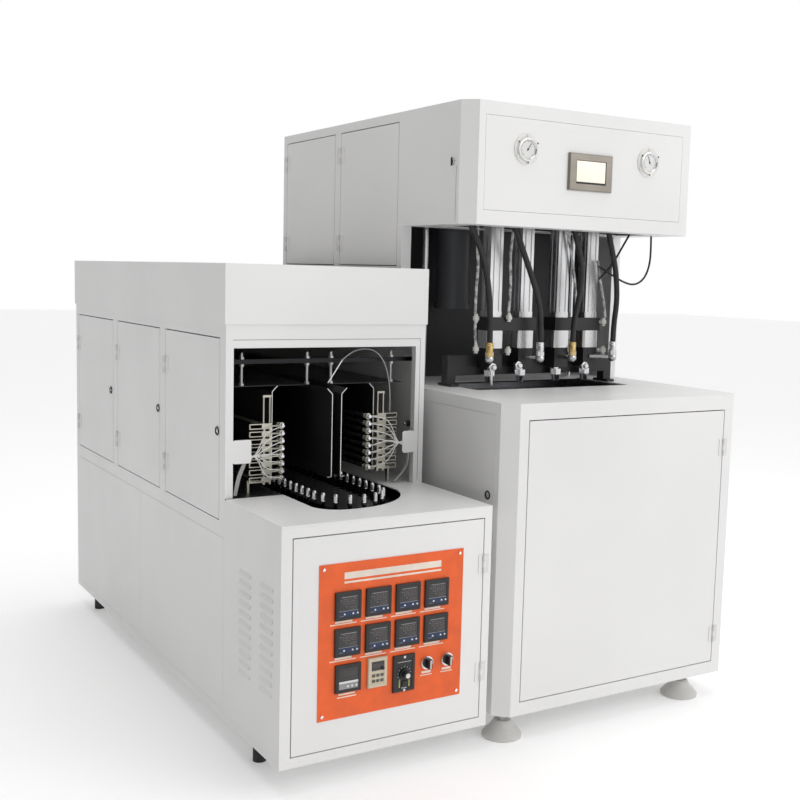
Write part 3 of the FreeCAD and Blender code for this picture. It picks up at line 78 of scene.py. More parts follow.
# ---------------------------------------------------------------- materials
class Shader:
    """A Principled material and a few ways to add nodes to it."""

    def __init__(self, name, colour, rough, metal=0.0, **sockets):
        self.material = bpy.data.materials.new(name)
        self.material.use_nodes = True
        self.tree = self.material.node_tree
        self.bsdf = self.tree.nodes["Principled BSDF"]
        self.colour = (*colour, 1.0)
        self.set("Base Color", self.colour)
        self.set("Roughness", rough)
        self.set("Metallic", metal)
        for socket, value in sockets.items():
            self.set(socket.replace("_", " "), value)
        self.height = None
        self.place = self.node("ShaderNodeTexCoord").outputs["Object"]

    def node(self, kind, **values):
        made = self.tree.nodes.new(kind)
        for key, value in values.items():
            setattr(made, key, value)
        return made

    def set(self, socket, value):
        self.bsdf.inputs[socket].default_value = value

    def link(self, a, b):
        self.tree.links.new(a, b)

    def noise(self, scale, detail=2.0, stretch=None, rough=0.5):
        made = self.node("ShaderNodeTexNoise")
        made.inputs["Scale"].default_value = scale
        made.inputs["Detail"].default_value = detail
        made.inputs["Roughness"].default_value = rough
        source = self.place
        if stretch:
            mapping = self.node("ShaderNodeMapping")
            mapping.inputs["Scale"].default_value = stretch
            self.link(source, mapping.inputs["Vector"])
            source = mapping.outputs["Vector"]
        self.link(source, made.inputs["Vector"])
        return made.outputs["Fac"]

    def remap(self, value, a, b, lo, hi):
        made = self.node("ShaderNodeMapRange")
        for socket, number in (("From Min", a), ("From Max", b), ("To Min", lo), ("To Max", hi)):
            made.inputs[socket].default_value = number
        self.link(value, made.inputs["Value"])
        return made.outputs["Result"]

    def math(self, operation, a, b=None):
        made = self.node("ShaderNodeMath", operation=operation)
        for socket, value in zip(made.inputs, (a, b)):
            if value is None:
                continue
            if isinstance(value, (int, float)):
                socket.default_value = value
            else:
                self.link(value, socket)
        return made.outputs[0]

    def blend(self, fac, a, b):
        """A colour between a and b by fac."""
        made = self.node("ShaderNodeMix", data_type="RGBA")
        self.link(fac, made.inputs[0])
        for socket, value in ((6, a), (7, b)):
            if isinstance(value, tuple):
                made.inputs[socket].default_value = value if len(value) == 4 else (*value, 1.0)
            else:
                self.link(value, made.inputs[socket])
        return made.outputs[2]

    def tint(self, fac, other):
        self.link(self.blend(fac, self.colour, other), self.bsdf.inputs["Base Color"])

    def mask(self, fac, other):
        """Another colour where fac is 1, over what is there."""
        socket = self.bsdf.inputs["Base Color"]
        under = socket.links[0].from_socket if socket.links else self.colour
        self.link(self.blend(fac, under, other), socket)

    def region(self, lo, hi):
        """1 inside a box given by two corners, else 0."""
        inside = None
        for k, (low, high) in enumerate(zip(at(*lo), at(*hi))):
            axis = self.axis(k)
            for test, edge in (("GREATER_THAN", low), ("LESS_THAN", high)):
                step = self.math(test, axis, edge)
                inside = step if inside is None else self.math("MULTIPLY", inside, step)
        return inside

    def roughen(self, value, lo, hi):
        self.link(self.remap(value, 0.3, 0.7, lo, hi), self.bsdf.inputs["Roughness"])

    def bump(self, value, distance, strength=1.0):
        made = self.node("ShaderNodeBump")
        made.inputs["Distance"].default_value = distance
        made.inputs["Strength"].default_value = strength
        self.link(value, made.inputs["Height"])
        if self.height is not None:
            self.link(self.height, made.inputs["Normal"])
        self.height = made.outputs["Normal"]
        self.link(self.height, self.bsdf.inputs["Normal"])

    def axis(self, index):
        made = self.node("ShaderNodeSeparateXYZ")
        self.link(self.place, made.inputs[0])
        return made.outputs[index]


def painted(name, colour, rough, grain=0.00004, scale=420.0, shade=0.94, coat=0.0):
    """Powder coat: fine orange peel, slight cloudiness in tone and gloss."""
    made = Shader(name, colour, rough, Coat_Weight=coat, Coat_Roughness=0.25)
    cloud = made.noise(1.7, 3.0)
    made.tint(made.remap(cloud, 0.35, 0.7, 0.0, 1.0), tuple(c * shade for c in colour))
    made.roughen(made.noise(9.0, 4.0), rough * 0.86, rough * 1.16)
    made.bump(made.noise(scale, 2.0), grain)
    made.bump(made.noise(5.0, 1.0), 0.0004, 0.25)
    return made


def plastic(name, colour, rough, grain=0.00003, scale=1500.0):
    made = Shader(name, colour, rough)
    made.roughen(made.noise(60.0, 3.0), rough * 0.8, rough * 1.2)
    cloud = made.noise(25.0, 3.0)
    made.tint(made.remap(cloud, 0.35, 0.7, 0.0, 1.0), tuple(c * 0.85 + 0.004 for c in colour))
    made.bump(made.noise(scale, 2.0), grain)
    return made


def metal(name, colour, rough, brush=(1.0, 1.0, 1.0), scale=90.0, grain=0.00003, tone=0.8):
    """Bare or plated metal with a drawn or turned grain along the small stretch axis."""
    made = Shader(name, colour, rough, 1.0)
    lines = made.noise(scale, 4.0, brush)
    made.roughen(lines, rough * 0.75, rough * 1.35)
    made.tint(made.remap(made.noise(12.0, 3.0), 0.3, 0.7, 0.0, 1.0), tuple(c * tone for c in colour))
    made.bump(lines, grain)
    return made


WHITE = painted("powder_white", (0.80, 0.795, 0.79), 0.42)
HINGE_WHITE = painted("hinge_white", (0.72, 0.715, 0.70), 0.5, shade=0.86)
LIGHT_GREY = painted("foot_grey", (0.60, 0.59, 0.57), 0.45, shade=0.85)
OVEN_BLACK = painted("oven_black", (0.012, 0.012, 0.013), 0.34, shade=1.9)
BLACK_STEEL = painted("black_steel", (0.012, 0.012, 0.014), 0.38, shade=1.6)
DARK_GREY = painted("dark_grey", (0.045, 0.047, 0.052), 0.42, shade=1.4)
RUBBER = plastic("rubber_black", (0.014, 0.014, 0.015), 0.62, 0.0001, 900.0)
BLACK_PLASTIC = plastic("plastic_black", (0.012, 0.012, 0.013), 0.38)
BEIGE = plastic("plastic_beige", (0.62, 0.54, 0.40), 0.45)
WHITE_PLASTIC = plastic("plastic_white", (0.80, 0.79, 0.76), 0.35)
SILVER_RING = metal("ring_silver", (0.83, 0.83, 0.84), 0.18, scale=220.0)
CHROME = metal("chrome", (0.82, 0.82, 0.84), 0.12, scale=160.0, grain=0.00001)
ZINC = metal("zinc_clip", (0.60, 0.58, 0.50), 0.34, scale=240.0)
ALUMINIUM = metal("aluminium_drawn", (0.78, 0.78, 0.79), 0.3, (1.0, 1.0, 0.03), 260.0, tone=0.86)
MACHINED = metal("machined_steel", (0.42, 0.43, 0.45), 0.38, (1.0, 0.05, 1.0), 200.0, tone=0.7)
BRASS = metal("brass", (0.72, 0.52, 0.22), 0.28, scale=200.0)
BRONZE_GREY = metal("bezel_bronze", (0.34, 0.31, 0.27), 0.4, (0.05, 1.0, 1.0), 260.0)
STEEL_BRIGHT = metal("bright_steel", (0.70, 0.70, 0.71), 0.25, scale=180.0)

BODY = painted("body_white", (0.80, 0.795, 0.79), 0.42)
# Painted shade: the inside of the heater body is coloured near black where shade falls; the right inner wall,
# outside the box, keeps the white.
BODY.mask(BODY.region((10, 26, 596), (604, 1500, 1200)), (0.016, 0.016, 0.018))
HOOD = painted("hood_white", (0.80, 0.795, 0.79), 0.42)
# Painted shade: the inside of the heater hood is coloured near black where shade falls.
HOOD.mask(HOOD.region((6, 6, 1147), (614, 1524, 1302)), (0.016, 0.016, 0.018))
TABLE = painted("table_white", (0.82, 0.815, 0.81), 0.38)
# Painted shade: the table's left part under the oven, behind its front, is coloured near black where shade falls.
TABLE.mask(TABLE.region((0, -3, 600), (200, 1530, 700)), (0.012, 0.012, 0.013))
HANGER = metal("hanger_steel", (0.50, 0.50, 0.50), 0.35)
HANGER.mask(HANGER.region((0, 0, 1035.5), (620, 1530, 1048.5)), (0.03, 0.03, 0.032))

HOLDER = metal("holder_steel", (0.80, 0.80, 0.81), 0.16, scale=160.0, grain=0.00001)
HOLDER.mask(HOLDER.region((150, -300, 600), (450, 1500, 690)), (0.05, 0.05, 0.052))

ORANGE = plastic("film_orange", (0.83, 0.115, 0.012), 0.42, 0.00001, 600.0)

CERAMIC = Shader("lamp_quartz_ceramic", (0.78, 0.76, 0.70), 0.25, IOR=1.46)
ends = CERAMIC.node("ShaderNodeMath", operation="ABSOLUTE")
lamp_lo, lamp_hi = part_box("oven_lamps")
middle = (lamp_lo.y + lamp_hi.y) / 2
CERAMIC.link(CERAMIC.math("SUBTRACT", CERAMIC.axis(1), middle), ends.inputs[0])
inside = CERAMIC.math("LESS_THAN", ends.outputs[0], (lamp_hi.y - lamp_lo.y) / 2 - 0.026)
CERAMIC.tint(inside, (0.045, 0.042, 0.04, 1.0))
CERAMIC.bump(CERAMIC.noise(700.0, 2.0), 0.00005)
CERAMIC.roughen(CERAMIC.noise(90.0), 0.18, 0.4)

FINISH = {
    BODY: "heater_body",
    HOOD: "heater_hood",
    TABLE: "heater_table",
    HANGER: "oven_hangers",
    WHITE: ("heater_door_1 heater_door_2 heater_door_3"
            " lower_panels cabinet_shell control_door press_base deck press_front_door"
            " press_side_panel upper_housing column_door_1 column_door_2 head_panel"),
    HINGE_WHITE: "hinge_frames",
    RUBBER: "heater_feet",
    LIGHT_GREY: "press_feet",
    ORANGE: "control_plate",
    BLACK_PLASTIC: ("panel_meters temperature_controller speed_controller selector_left"
                    " selector_right speed_knob"),
    BEIGE: "drive_keypad",
    SILVER_RING: "selector_rings",
    ZINC: "lamp_racks",
    CERAMIC: "oven_lamps",
    OVEN_BLACK: "reflectors oven_top_sheets chain_track",
    # inner_liner takes the black finish as painted shade inside the press.
    BLACK_STEEL: ("chain_links front_sprocket rear_sprocket nozzle_carrier"
                  " clamp_bars inner_liner cylinder_beam"),
    STEEL_BRIGHT: "hose_fittings",
    HOLDER: "preform_holders",
    CHROME: "blow_nozzles stretch_rods guide_rods tie_bars",
    DARK_GREY: "chain_motor lift_cylinder clamp_cylinder",
    ALUMINIUM: "stretch_cylinders blow_cylinders mould_front mould_rear",
    BRONZE_GREY: "touch_screen",
    WHITE_PLASTIC: "pressure_gauges",
    MACHINED: "clamp_frame rear_platen",
}
for shader, names in FINISH.items():
    for name in names.split():
        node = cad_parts[name]
        if not node.material_slots:
            node.data.materials.append(shader.material)
        for slot in node.material_slots:
            slot.material = shader.material


# ---------------------------------------------------------------- mesh helpers
def give(name, mesh, shader, body):
    made = bpy.data.objects.new(name, mesh)
    bpy.context.scene.collection.objects.link(made)
    mesh.materials.clear()
    mesh.materials.append(shader.material)
    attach(made, body)
    return made


def finish_mesh(name, bm, smooth=True):
    bmesh.ops.recalc_face_normals(bm, faces=bm.faces)
    mesh = bpy.data.meshes.new(name)
    bm.to_mesh(mesh)
    bm.free()
    for polygon in mesh.polygons:
        polygon.use_smooth = smooth
    return mesh


def soften(made, angle=35):
    """Smooth shading that keeps edges sharper than the angle."""
    edges = made.modifiers.new("edges", "EDGE_SPLIT")
    edges.split_angle = math.radians(angle)
    return made


def add_block(bm, x0, x1, y0, y1, z0, z1, bevel=0.0):
    lo, hi = at(x0, y0, z0), at(x1, y1, z1)
    start = set(bm.verts)
    bmesh.ops.create_cube(bm, size=1.0)
    verts = [v for v in bm.verts if v not in start]
    for v in verts:
        v.co = Vector([lo[k] + (v.co[k] + 0.5) * (hi[k] - lo[k]) for k in range(3)])
    if bevel:
        edges = list({e for v in verts for e in v.link_edges})
        bmesh.ops.bevel(bm, geom=edges, offset=bevel * MM, segments=2, affect="EDGES", profile=0.6)


def add_turned(bm, profile, origin, axis, steps=32):
    """A turned piece: (radius, distance) points in mm along the axis from origin."""
    axis = Vector(axis).normalized()
    side = axis.orthogonal().normalized()
    other = axis.cross(side)
    origin = at(*origin)
    rings = []
    for radius, along in profile:
        centre = origin + axis * (along * MM)
        if radius <= 0:
            rings.append([bm.verts.new(centre)])
            continue
        ring = []
        for k in range(steps):
            a = 2 * math.pi * k / steps
            ring.append(bm.verts.new(centre + (side * math.cos(a) + other * math.sin(a)) * radius * MM))
        rings.append(ring)
    for low, high in zip(rings, rings[1:]):
        for k in range(steps):
            n = (k + 1) % steps
            if len(low) == 1 and len(high) == 1:
                continue
            if len(low) == 1:
                bm.faces.new((low[0], high[k], high[n]))
            elif len(high) == 1:
                bm.faces.new((low[k], low[n], high[0]))
            else:
                bm.faces.new((low[k], low[n], high[n], high[k]))


def blocks(name, items, shader, body, bevel=0.4):
    bm = bmesh.new()
    for item in items:
        add_block(bm, *item, bevel=bevel)
    return soften(give(name, finish_mesh(name, bm), shader, body))


def turned(name, items, shader, body, steps=32):
    """Several turned pieces in one mesh: (profile, origin, axis) each."""
    bm = bmesh.new()
    for profile, origin, axis in items:
        add_turned(bm, profile, origin, axis, steps)
    return soften(give(name, finish_mesh(name, bm), shader, body))


def add_bar(bm, a, b, width, y0, y1):
    """A flat bar between two (x, z) points."""
    a, b = Vector(a), Vector(b)
    run = (b - a).normalized()
    across = Vector((-run.y, run.x)) * (width / 2)
    outline = (a + across, a - across, b - across, b + across)
    near = [bm.verts.new(at(p.x, y0, p.y)) for p in outline]
    far = [bm.verts.new(at(p.x, y1, p.y)) for p in outline]
    bm.faces.new(near)
    bm.faces.new(far[::-1])
    for k in range(4):
        bm.faces.new((near[k], far[k], far[(k + 1) % 4], near[(k + 1) % 4]))


def bars(name, items, shader, body):
    """Flat bars in one mesh: (a, b, width, y0, y1) each."""
    bm = bmesh.new()
    for item in items:
        add_bar(bm, *item)
    return give(name, finish_mesh(name, bm, False), shader, body)


def nurbs(name, routes, diameter, shader, body):
    """Tubes along smooth lines, one spline for each route of points."""
    curve = bpy.data.curves.new(name, "CURVE")
    curve.dimensions = "3D"
    curve.bevel_depth = diameter * MM / 2
    curve.bevel_resolution = 4
    curve.use_fill_caps = True
    curve.resolution_u = 8
    for route in routes:
        spline = curve.splines.new("NURBS")
        spline.points.add(len(route) - 1)
        for point, place in zip(spline.points, route):
            point.co = (*at(*place), 1.0)
        spline.order_u = 3
        spline.use_endpoint_u = True
    made = bpy.data.objects.new(name, curve)
    bpy.context.scene.collection.objects.link(made)
    curve.materials.append(shader.material)
    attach(made, body)
    return made


# ---------------------------------------------------------------- control plate
PLATE_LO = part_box("control_plate")[0]
FRONT_FACE = (PLATE_LO.y + 0.002 - HOOD_LO.y) / MM      # plate's face, behind its screws
METER = 72.0
BEZEL = 9.2                                              # round each meter's window
METERS = [(148.0 + 86.5 * c, 501.0 - 93.5 * r) for r in range(2) for c in range(4)]
WINDOW_Y = FRONT_FACE - 8.0 + 1.2                        # floor of a meter's window
TEMP = (151.0, 314.0)
DOOR = "control_door"

GLASS = Shader("display_glass", (0.006, 0.006, 0.007), 0.12, Coat_Weight=0.6, Coat_Roughness=0.05)
GLASS.roughen(GLASS.noise(40.0), 0.1, 0.2)
GLASS.bump(GLASS.noise(300.0), 0.00001)
GHOST = Shader("display_digits", (0.13, 0.10, 0.10), 0.4)
GHOST.tint(GHOST.remap(GHOST.noise(60.0), 0.3, 0.7, 0, 1), (0.18, 0.14, 0.14, 1))
NAVY = plastic("strip_navy", (0.012, 0.028, 0.085), 0.4)
PRINT = plastic("print_white", (0.78, 0.77, 0.74), 0.5, 0.00001)
PRINT_GREY = plastic("print_grey", (0.30, 0.30, 0.31), 0.5, 0.00001)
SILVER_STRIP = metal("strip_silver", (0.75, 0.75, 0.76), 0.3, (0.05, 1, 1), 220.0)
YELLOW_GREEN = plastic("strip_yellow_green", (0.42, 0.40, 0.09), 0.4)
DARK_KEY = plastic("key_dark", (0.10, 0.095, 0.085), 0.5)

SEGMENTS = {"top": (0.1, 0.9, 0.93, 1.0), "middle": (0.1, 0.9, 0.465, 0.535),
            "bottom": (0.1, 0.9, 0, 0.07), "left_low": (0.0, 0.12, 0.07, 0.46), "left_high": (0.0, 0.12, 0.54, 0.93),
            "right_low": (0.88, 1.0, 0.07, 0.46), "right_high": (0.88, 1.0, 0.54, 0.93)}


def digits(x, z, width, height, count, y, thick=0.25):
    """Unlit seven-segment figures, each one an eight, from their lower left corner."""
    items = []
    step = width * 1.28
    for k in range(count):
        left = x + k * step
        for (a, b, c, d) in SEGMENTS.values():
            items.append((left + a * width, left + b * width, y - thick, y,
                          z + c * height, z + d * height))
    return items


BUTTON = [(0, 1.6), (1.9, 1.6), (2.4, 1.1), (2.4, 0)]
glass, ghosts, strips, edges, buttons, marks, tops = [], [], [], [], [], [], []
for x, z in METERS:
    inner_x0, inner_x1 = x + BEZEL, x + METER - BEZEL
    z0 = z - METER
    glass.append((inner_x0, inner_x1, WINDOW_Y - 0.6, WINDOW_Y, z0 + 24.5, z - BEZEL))
    strips.append((inner_x0, inner_x1, WINDOW_Y - 0.8, WINDOW_Y, z0 + BEZEL, z0 + 23.0))
    edges.append((inner_x0, inner_x1, WINDOW_Y - 0.9, WINDOW_Y, z0 + 23.2, z0 + 24.3))
    ghosts += digits(x + 21, z - 31.5, 9.6, 14.5, 3, WINDOW_Y - 0.6)
    ghosts += digits(x + 38, z - 45.0, 5.6, 9.0, 3, WINDOW_Y - 0.6)
    marks.append((x + 14, x + 16.2, WINDOW_Y - 0.8, WINDOW_Y - 0.5, z - 22, z - 20))
    marks.append((x + 29, x + 31, WINDOW_Y - 0.8, WINDOW_Y - 0.5, z - 38, z - 36))
    tops.append((x + 16, x + 58, WINDOW_Y - 0.75, WINDOW_Y - 0.5, z - 13.6, z - 12.2))
    tops.append((x + 10.5, x + 22, WINDOW_Y - 0.95, WINDOW_Y - 0.7, z0 + 10.6, z0 + 11.6))
    for away in (24.0, 48.0, 60.5):
        buttons.append((BUTTON, (x + away, WINDOW_Y - 0.8, z0 + 16.0), FRONTWARD))
blocks("meter_glass", glass, GLASS, DOOR, 0.15)
blocks("meter_digits", ghosts, GHOST, DOOR, 0)
blocks("meter_strips", strips, NAVY, DOOR, 0.2)
blocks("meter_strip_edges", edges, PRINT_GREY, DOOR, 0)
blocks("meter_marks", marks + tops, PRINT_GREY, DOOR, 0)
turned("meter_buttons", buttons, PRINT, DOOR, 16)

# temperature controller
x, z = TEMP
z0 = z - METER
blocks("controller_glass", [(x + BEZEL, x + METER - BEZEL, WINDOW_Y - 0.6, WINDOW_Y, z0 + 31, z - BEZEL)],
       GLASS, DOOR, 0.15)
blocks("controller_strip", [(x + BEZEL, x + METER - BEZEL, WINDOW_Y - 1.2, WINDOW_Y, z0 + 24.0, z0 + 29.5)],
       SILVER_STRIP, DOOR, 0.3)
blocks("controller_keys_plate",
       [(x + BEZEL, x + METER - BEZEL, WINDOW_Y - 0.8, WINDOW_Y, z0 + BEZEL, z0 + 23.4)],
       PRINT_GREY, DOOR, 0.2)
blocks("controller_digits", digits(x + 22, z - 29, 7.0, 11, 4, WINDOW_Y - 0.6)
       + digits(x + 30, z - 38.5, 4.4, 6.5, 4, WINDOW_Y - 0.6), DARK_KEY, DOOR, 0)
key = [(0, 1.2), (2.4, 1.2), (3.0, 0.6), (3.0, 0)]
turned("controller_keys", [(key, (x + a, WINDOW_Y - 0.8, z0 + 16), FRONTWARD) for a in (34.0, 46.0, 58.0)],
       PRINT, DOOR, 16)

# drive keypad: dark display, six keys and a small dial
kx0, kx1, kz0, kz1 = 243.0, 298.0, 240.0, 318.0
face = WINDOW_Y
blocks("keypad_display", [(kx0 + 9.4, kx1 - 9.4, face - 1.6, face, kz1 - 33, kz1 - 9.4)], GLASS, DOOR,
       0.5)
blocks("keypad_display_marks", digits(kx0 + 13, kz1 - 24, 4.6, 9, 4, face - 1.6), GHOST, DOOR,
       0)
keys = []
for row in range(2):
    for col in range(3):
        cx, cz = kx0 + 15.5 + col * 12.0, kz0 + 18.0 + row * 14.0
        keys.append((cx - 4.2, cx + 4.2, face - 2.2, face, cz - 3.6, cz + 3.6))
blocks("keypad_keys", keys, DARK_KEY, DOOR, 0.8)
dial = [(0, 3.0), (3.8, 3.0), (4.6, 2.2), (4.6, 0)]
turned("keypad_dial", [(dial, (kx1 - 14.0, face - 1.6, kz1 - 29.0), FRONTWARD)],
       BLACK_PLASTIC, DOOR)

# speed controller: scale round the knob, two coloured strips, a switch and two screws
sz0, sz1 = 215.0, 312.0
kx, kz = 349.0, 262.0
scale = []
for k in range(11):
    a = math.radians(-135 + 27 * k)
    cx, cz = kx + 19.0 * math.sin(a), kz + 19.0 * math.cos(a)
    scale.append((cx - 0.8, cx + 0.8, face - 0.4, face, cz - 0.8, cz + 0.8))
blocks("speed_scale", scale, PRINT, DOOR, 0)
blocks("speed_strips", [(kx - 16, kx - 12.5, face - 0.7, face, sz0 + 12, sz0 + 33),
                        (kx + 12.5, kx + 16, face - 0.7, face, sz0 + 12, sz0 + 33)], YELLOW_GREEN, DOOR,
       0.2)
blocks("speed_switch", [(kx - 7, kx + 7, face - 3.0, face, sz0 + 12, sz0 + 29)], BLACK_PLASTIC, DOOR,
       0.8)
blocks("speed_label_bar", [(kx - 8, kx + 8, face - 0.5, face, sz0 + 9.6, sz0 + 11.4),
                           (kx - 20, kx + 20, face - 0.4, face, sz1 - 18.0, sz1 - 17.0)], PRINT, DOOR,
       0)
plate_out = FRONT_FACE - 8.0
screw = [(0, 1.4), (1.5, 1.5), (3.0, 1.0), (3.6, 0.2), (3.6, 0)]
turned("speed_screws", [(screw, (kx, plate_out, z), FRONTWARD) for z in (sz1 - 4.6, sz0 + 4.6)],
       PRINT, DOOR, 16)
cap = [(0, 1.0), (5.6, 1.0), (6.4, 0.4), (6.4, 0)]
turned("speed_knob_cap", [(cap, (kx + 1.0, face - 18.0, kz), FRONTWARD)],
       PRINT, "speed_knob")
SELECTOR_X = {"left": 419.0, "right": 481.0}
SELECTOR_Z = 280.0
pointer_y = FRONT_FACE - 6.0 - 18.4
for side, cx in SELECTOR_X.items():
    blocks("selector_pointer_" + side,
           [(cx - 1.7, cx + 1.7, pointer_y, pointer_y + 1.4, SELECTOR_Z - 11.5, SELECTOR_Z + 11.5)],
           PRINT, "selector_" + side, 0.4)

# film print: plain bars where the legends are
legends = []


def legend(x0, x1, z0, z1):
    legends.append((x0, x1, FRONT_FACE - 0.12, FRONT_FACE, z0, z1))


legend(174, 457, 532, 549)
legend(174, 457, 521, 526)
for x, z in METERS:
    legend(x + 2, x + 50, z - METER - 7.5, z - METER - 2.5)
    legend(x - 12, x + 62, z - METER - 12.2, z - METER - 9.6)
legend(TEMP[0] + 12, TEMP[0] + 58, TEMP[1] - METER - 8, TEMP[1] - METER - 4)
legend(TEMP[0] + 8, TEMP[0] + 62, TEMP[1] - METER - 15, TEMP[1] - METER - 12)
for cx in SELECTOR_X.values():
    legend(cx - 14, cx + 14, 251, 257)
    legend(cx - 18, cx + 18, 245, 247.5)
FILM_PRINT = plastic("film_print", (0.82, 0.72, 0.62), 0.45, 0.00001)
blocks("film_legend_bars", legends, FILM_PRINT, DOOR, 0)
head = [(0, 1.6), (1.4, 1.7), (3.2, 1.3), (4.4, 0.2), (4.4, 0)]
heads = []
for x in (117.0, 514.0):
    for z in (187.0, 562.0):
        heads.append((head, (x, FRONT_FACE - 2.0, z), FRONTWARD))
turned("plate_screw_heads", heads, SILVER_RING, DOOR, 20)

# ---------------------------------------------------------------- touch screen and gauges
PALE = Shader("screen_pale", (0.80, 0.74, 0.62), 0.25, Emission_Color=(1.0, 0.93, 0.80, 1),
              Emission_Strength=0.35)
PALE.tint(PALE.remap(PALE.noise(6.0), 0.3, 0.7, 0, 1), (0.75, 0.66, 0.52, 1))
DIAL = plastic("dial_white", (0.74, 0.74, 0.73), 0.4, 0.00001)
INK = plastic("ink_black", (0.02, 0.02, 0.022), 0.5, 0.00001)
# The second, narrow block below the surround is a painted shadow line under the screen.
blocks("screen_surround",
       [(1040, 1157, -129.9, -129.4, 1570, 1641), (1072, 1150, -130.6, -129.4, 1563, 1568)],
       INK, "frame", 0.1)
blocks("screen_face", [(1044, 1153, -130.4, -129.5, 1576, 1637)], PALE, "frame", 0.2)

dial_rim = [(30.4, 0), (30.4, 3.2), (28.6, 3.6), (26.4, 1.2), (26.4, 0)]
rims, faces, ticks, needles, pins, studs = [], [], [], [], [], []
for cx, cz, lean in ((864.0, 1655.0, 35), (1330.0, 1652.0, -20)):
    faces.append(([(0, 0.4), (26, 0.4), (26, 0)], (cx, -128, cz), FRONTWARD))
    rims.append((dial_rim, (cx, -128, cz), FRONTWARD))
    for k in range(41):
        a = math.radians(-135 + 6.75 * k)
        inner = 20.5 if k % 5 == 0 else 22.5
        ticks.append(((cx + inner * math.sin(a), cz + inner * math.cos(a)),
                      (cx + 24.5 * math.sin(a), cz + 24.5 * math.cos(a)), 0.7, -128.7, -128.3))
    a = math.radians(lean)
    needles.append(((cx - 6 * math.sin(a), cz - 6 * math.cos(a)),
                    (cx + 20 * math.sin(a), cz + 20 * math.cos(a)), 1.6, -129.4, -128.9))
    pins.append(([(0, 2.2), (2.6, 1.8), (3.0, 0)], (cx, -128.2, cz), FRONTWARD))
    for k in range(3):
        a = math.radians(60 + 120 * k)
        studs.append(([(0, 1.5), (2.0, 1.4), (2.6, 0.6), (2.6, 0)],
                      (cx + 38 * math.sin(a), -130.4, cz + 38 * math.cos(a)), FRONTWARD))
turned("gauge_faces", faces, DIAL, "frame", 48)
turned("gauge_rims", rims, CHROME, "frame", 48)
bars("gauge_ticks", ticks, INK, "frame")
bars("gauge_needles", needles, INK, "frame")
turned("gauge_pins", pins, INK, "frame", 16)
turned("gauge_screws", studs, INK, "frame", 16)

# ---------------------------------------------------------------- pulls, lock and seams
rim = [(7.5, 0), (7.5, 1.6), (9.5, 3.0), (11.5, 3.0), (12.5, 1.6), (12.5, 0)]
dish = [(0, 2.4), (2.6, 2.4), (3.2, 1.0), (7.6, 0.8), (7.6, 0)]
for number, (y, z) in enumerate(((62.0, 856.0), (560.0, 861.0), (1068.0, 865.0)), 1):
    turned("pull_rim_%d" % number, [(rim, (4, y, z), LEFTWARD)], BLACK_PLASTIC,
           "heater_door_%d" % number, 28)
    turned("pull_dish_%d" % number, [(dish, (4, y, z), LEFTWARD)], CHROME,
           "heater_door_%d" % number, 28)
turned("press_panel_rim", [(rim, (660, -276, 689), LEFTWARD)], BLACK_PLASTIC, "frame", 28)
turned("press_panel_dish", [(dish, (660, -276, 689), LEFTWARD)], CHROME, "frame", 28)
lock = [(0, 5), (5.5, 5), (6.0, 4.4), (6.0, 2.4), (9.5, 2.0), (10, 1.2), (10, 0)]
turned("head_key_lock", [(lock, (660, -53, 1610), LEFTWARD)], CHROME, "frame", 28)
blocks("head_key", [(650, 655.5, -54.2, -51.8, 1598, 1622)], BLACK_PLASTIC, "frame", 0.5)
SEAM = plastic("seam_shadow", (0.16, 0.16, 0.16), 0.7, 0.00001)
blocks("head_side_seam", [(659.8, 660.2, -68.8, -67.4, 1443, 1597)], SEAM, "frame", 0)
blocks("window_trim_lines", [(24, 600, 3.75, 4.1, 1103.2, 1104.6), (598.8, 600, 3.75, 4.1, 690, 1103)],
       SEAM, "frame", 0)

# ---------------------------------------------------------------- oven: sheet edges, wires, cables
BRIGHT_EDGE = metal("sheet_edge", (0.80, 0.80, 0.78), 0.28)
edges = []
for x, lean, z0, y in ((155, 1, 715, 46), (471, -1, 729, 46), (286, -1, 730, -60), (314, 1, 730, -60)):
    edges.append(((x, z0), (x, 959), 2.0, y - 0.5, y + 0.4))
    edges.append(((x, 959), (x + 15.5 * lean, 974.4), 2.0, y - 0.5, y + 0.4))
for x, lean in ((286, -1), (314, 1)):
    edges.append(((x, 730.6), (x + 12 * lean, 730.6), 1.6, -60.5, -59.6))
bars("reflector_edges", edges, BRIGHT_EDGE, "frame")

WIRE = plastic("wire_white", (0.74, 0.73, 0.70), 0.4, 0.00002)
CABLE = plastic("cable_grey", (0.42, 0.42, 0.41), 0.45, 0.00003)
LAMP_PITCH = 21.0
LEFT_LAMPS, RIGHT_LAMPS = (178.0, 719.0), (448.0, 733.0)   # the lowest lamp's X and Z
end_cap = [(0, 6), (4.0, 6), (5.8, 4.4), (6.2, 2), (6.2, 0)]
left_wires, right_wires, caps = [], [], []
for k in range(8):
    x, z = LEFT_LAMPS[0], LEFT_LAMPS[1] + LAMP_PITCH * k
    low = k < 4
    left_wires.append([(72, 7, 790 - 1.2 * k), (92, 9, 796 - 1.5 * k),
                       (128 - 2.5 * abs(k - 3), 10, z + (10 if low else -16)),
                       (160, 14, z + (8 if low else -3)), (x, 23, z), (x, 27, z)])
    x, z = RIGHT_LAMPS[0], RIGHT_LAMPS[1] + LAMP_PITCH * k
    right_wires.append([(552, 7, 806 - 1.6 * k), (534, 8, 808 - 1.6 * k), (505, 9, z + (16 if low else -9)),
                        (468, 13, z + (6 if low else -1)), (x, 23, z), (x, 27, z)])
nurbs("lamp_wires_left", left_wires, 3.0, WIRE, "frame")
nurbs("lamp_wires_right", right_wires, 3.0, WIRE, "frame")
for x, lowest in (LEFT_LAMPS, RIGHT_LAMPS):
    for k in range(8):
        caps.append((end_cap, (x, 26, lowest + LAMP_PITCH * k), FRONTWARD))
turned("lamp_end_caps", caps, CHROME, "frame", 20)
nurbs("cable_left", [[(70 - 3 * k, 12, 786), (62 - 4 * k, 12, 762), (48 - 4 * k, 14, 730),
                      (40 - 3 * k, 16, 684)] for k in range(3)], 4.5, CABLE, "frame")
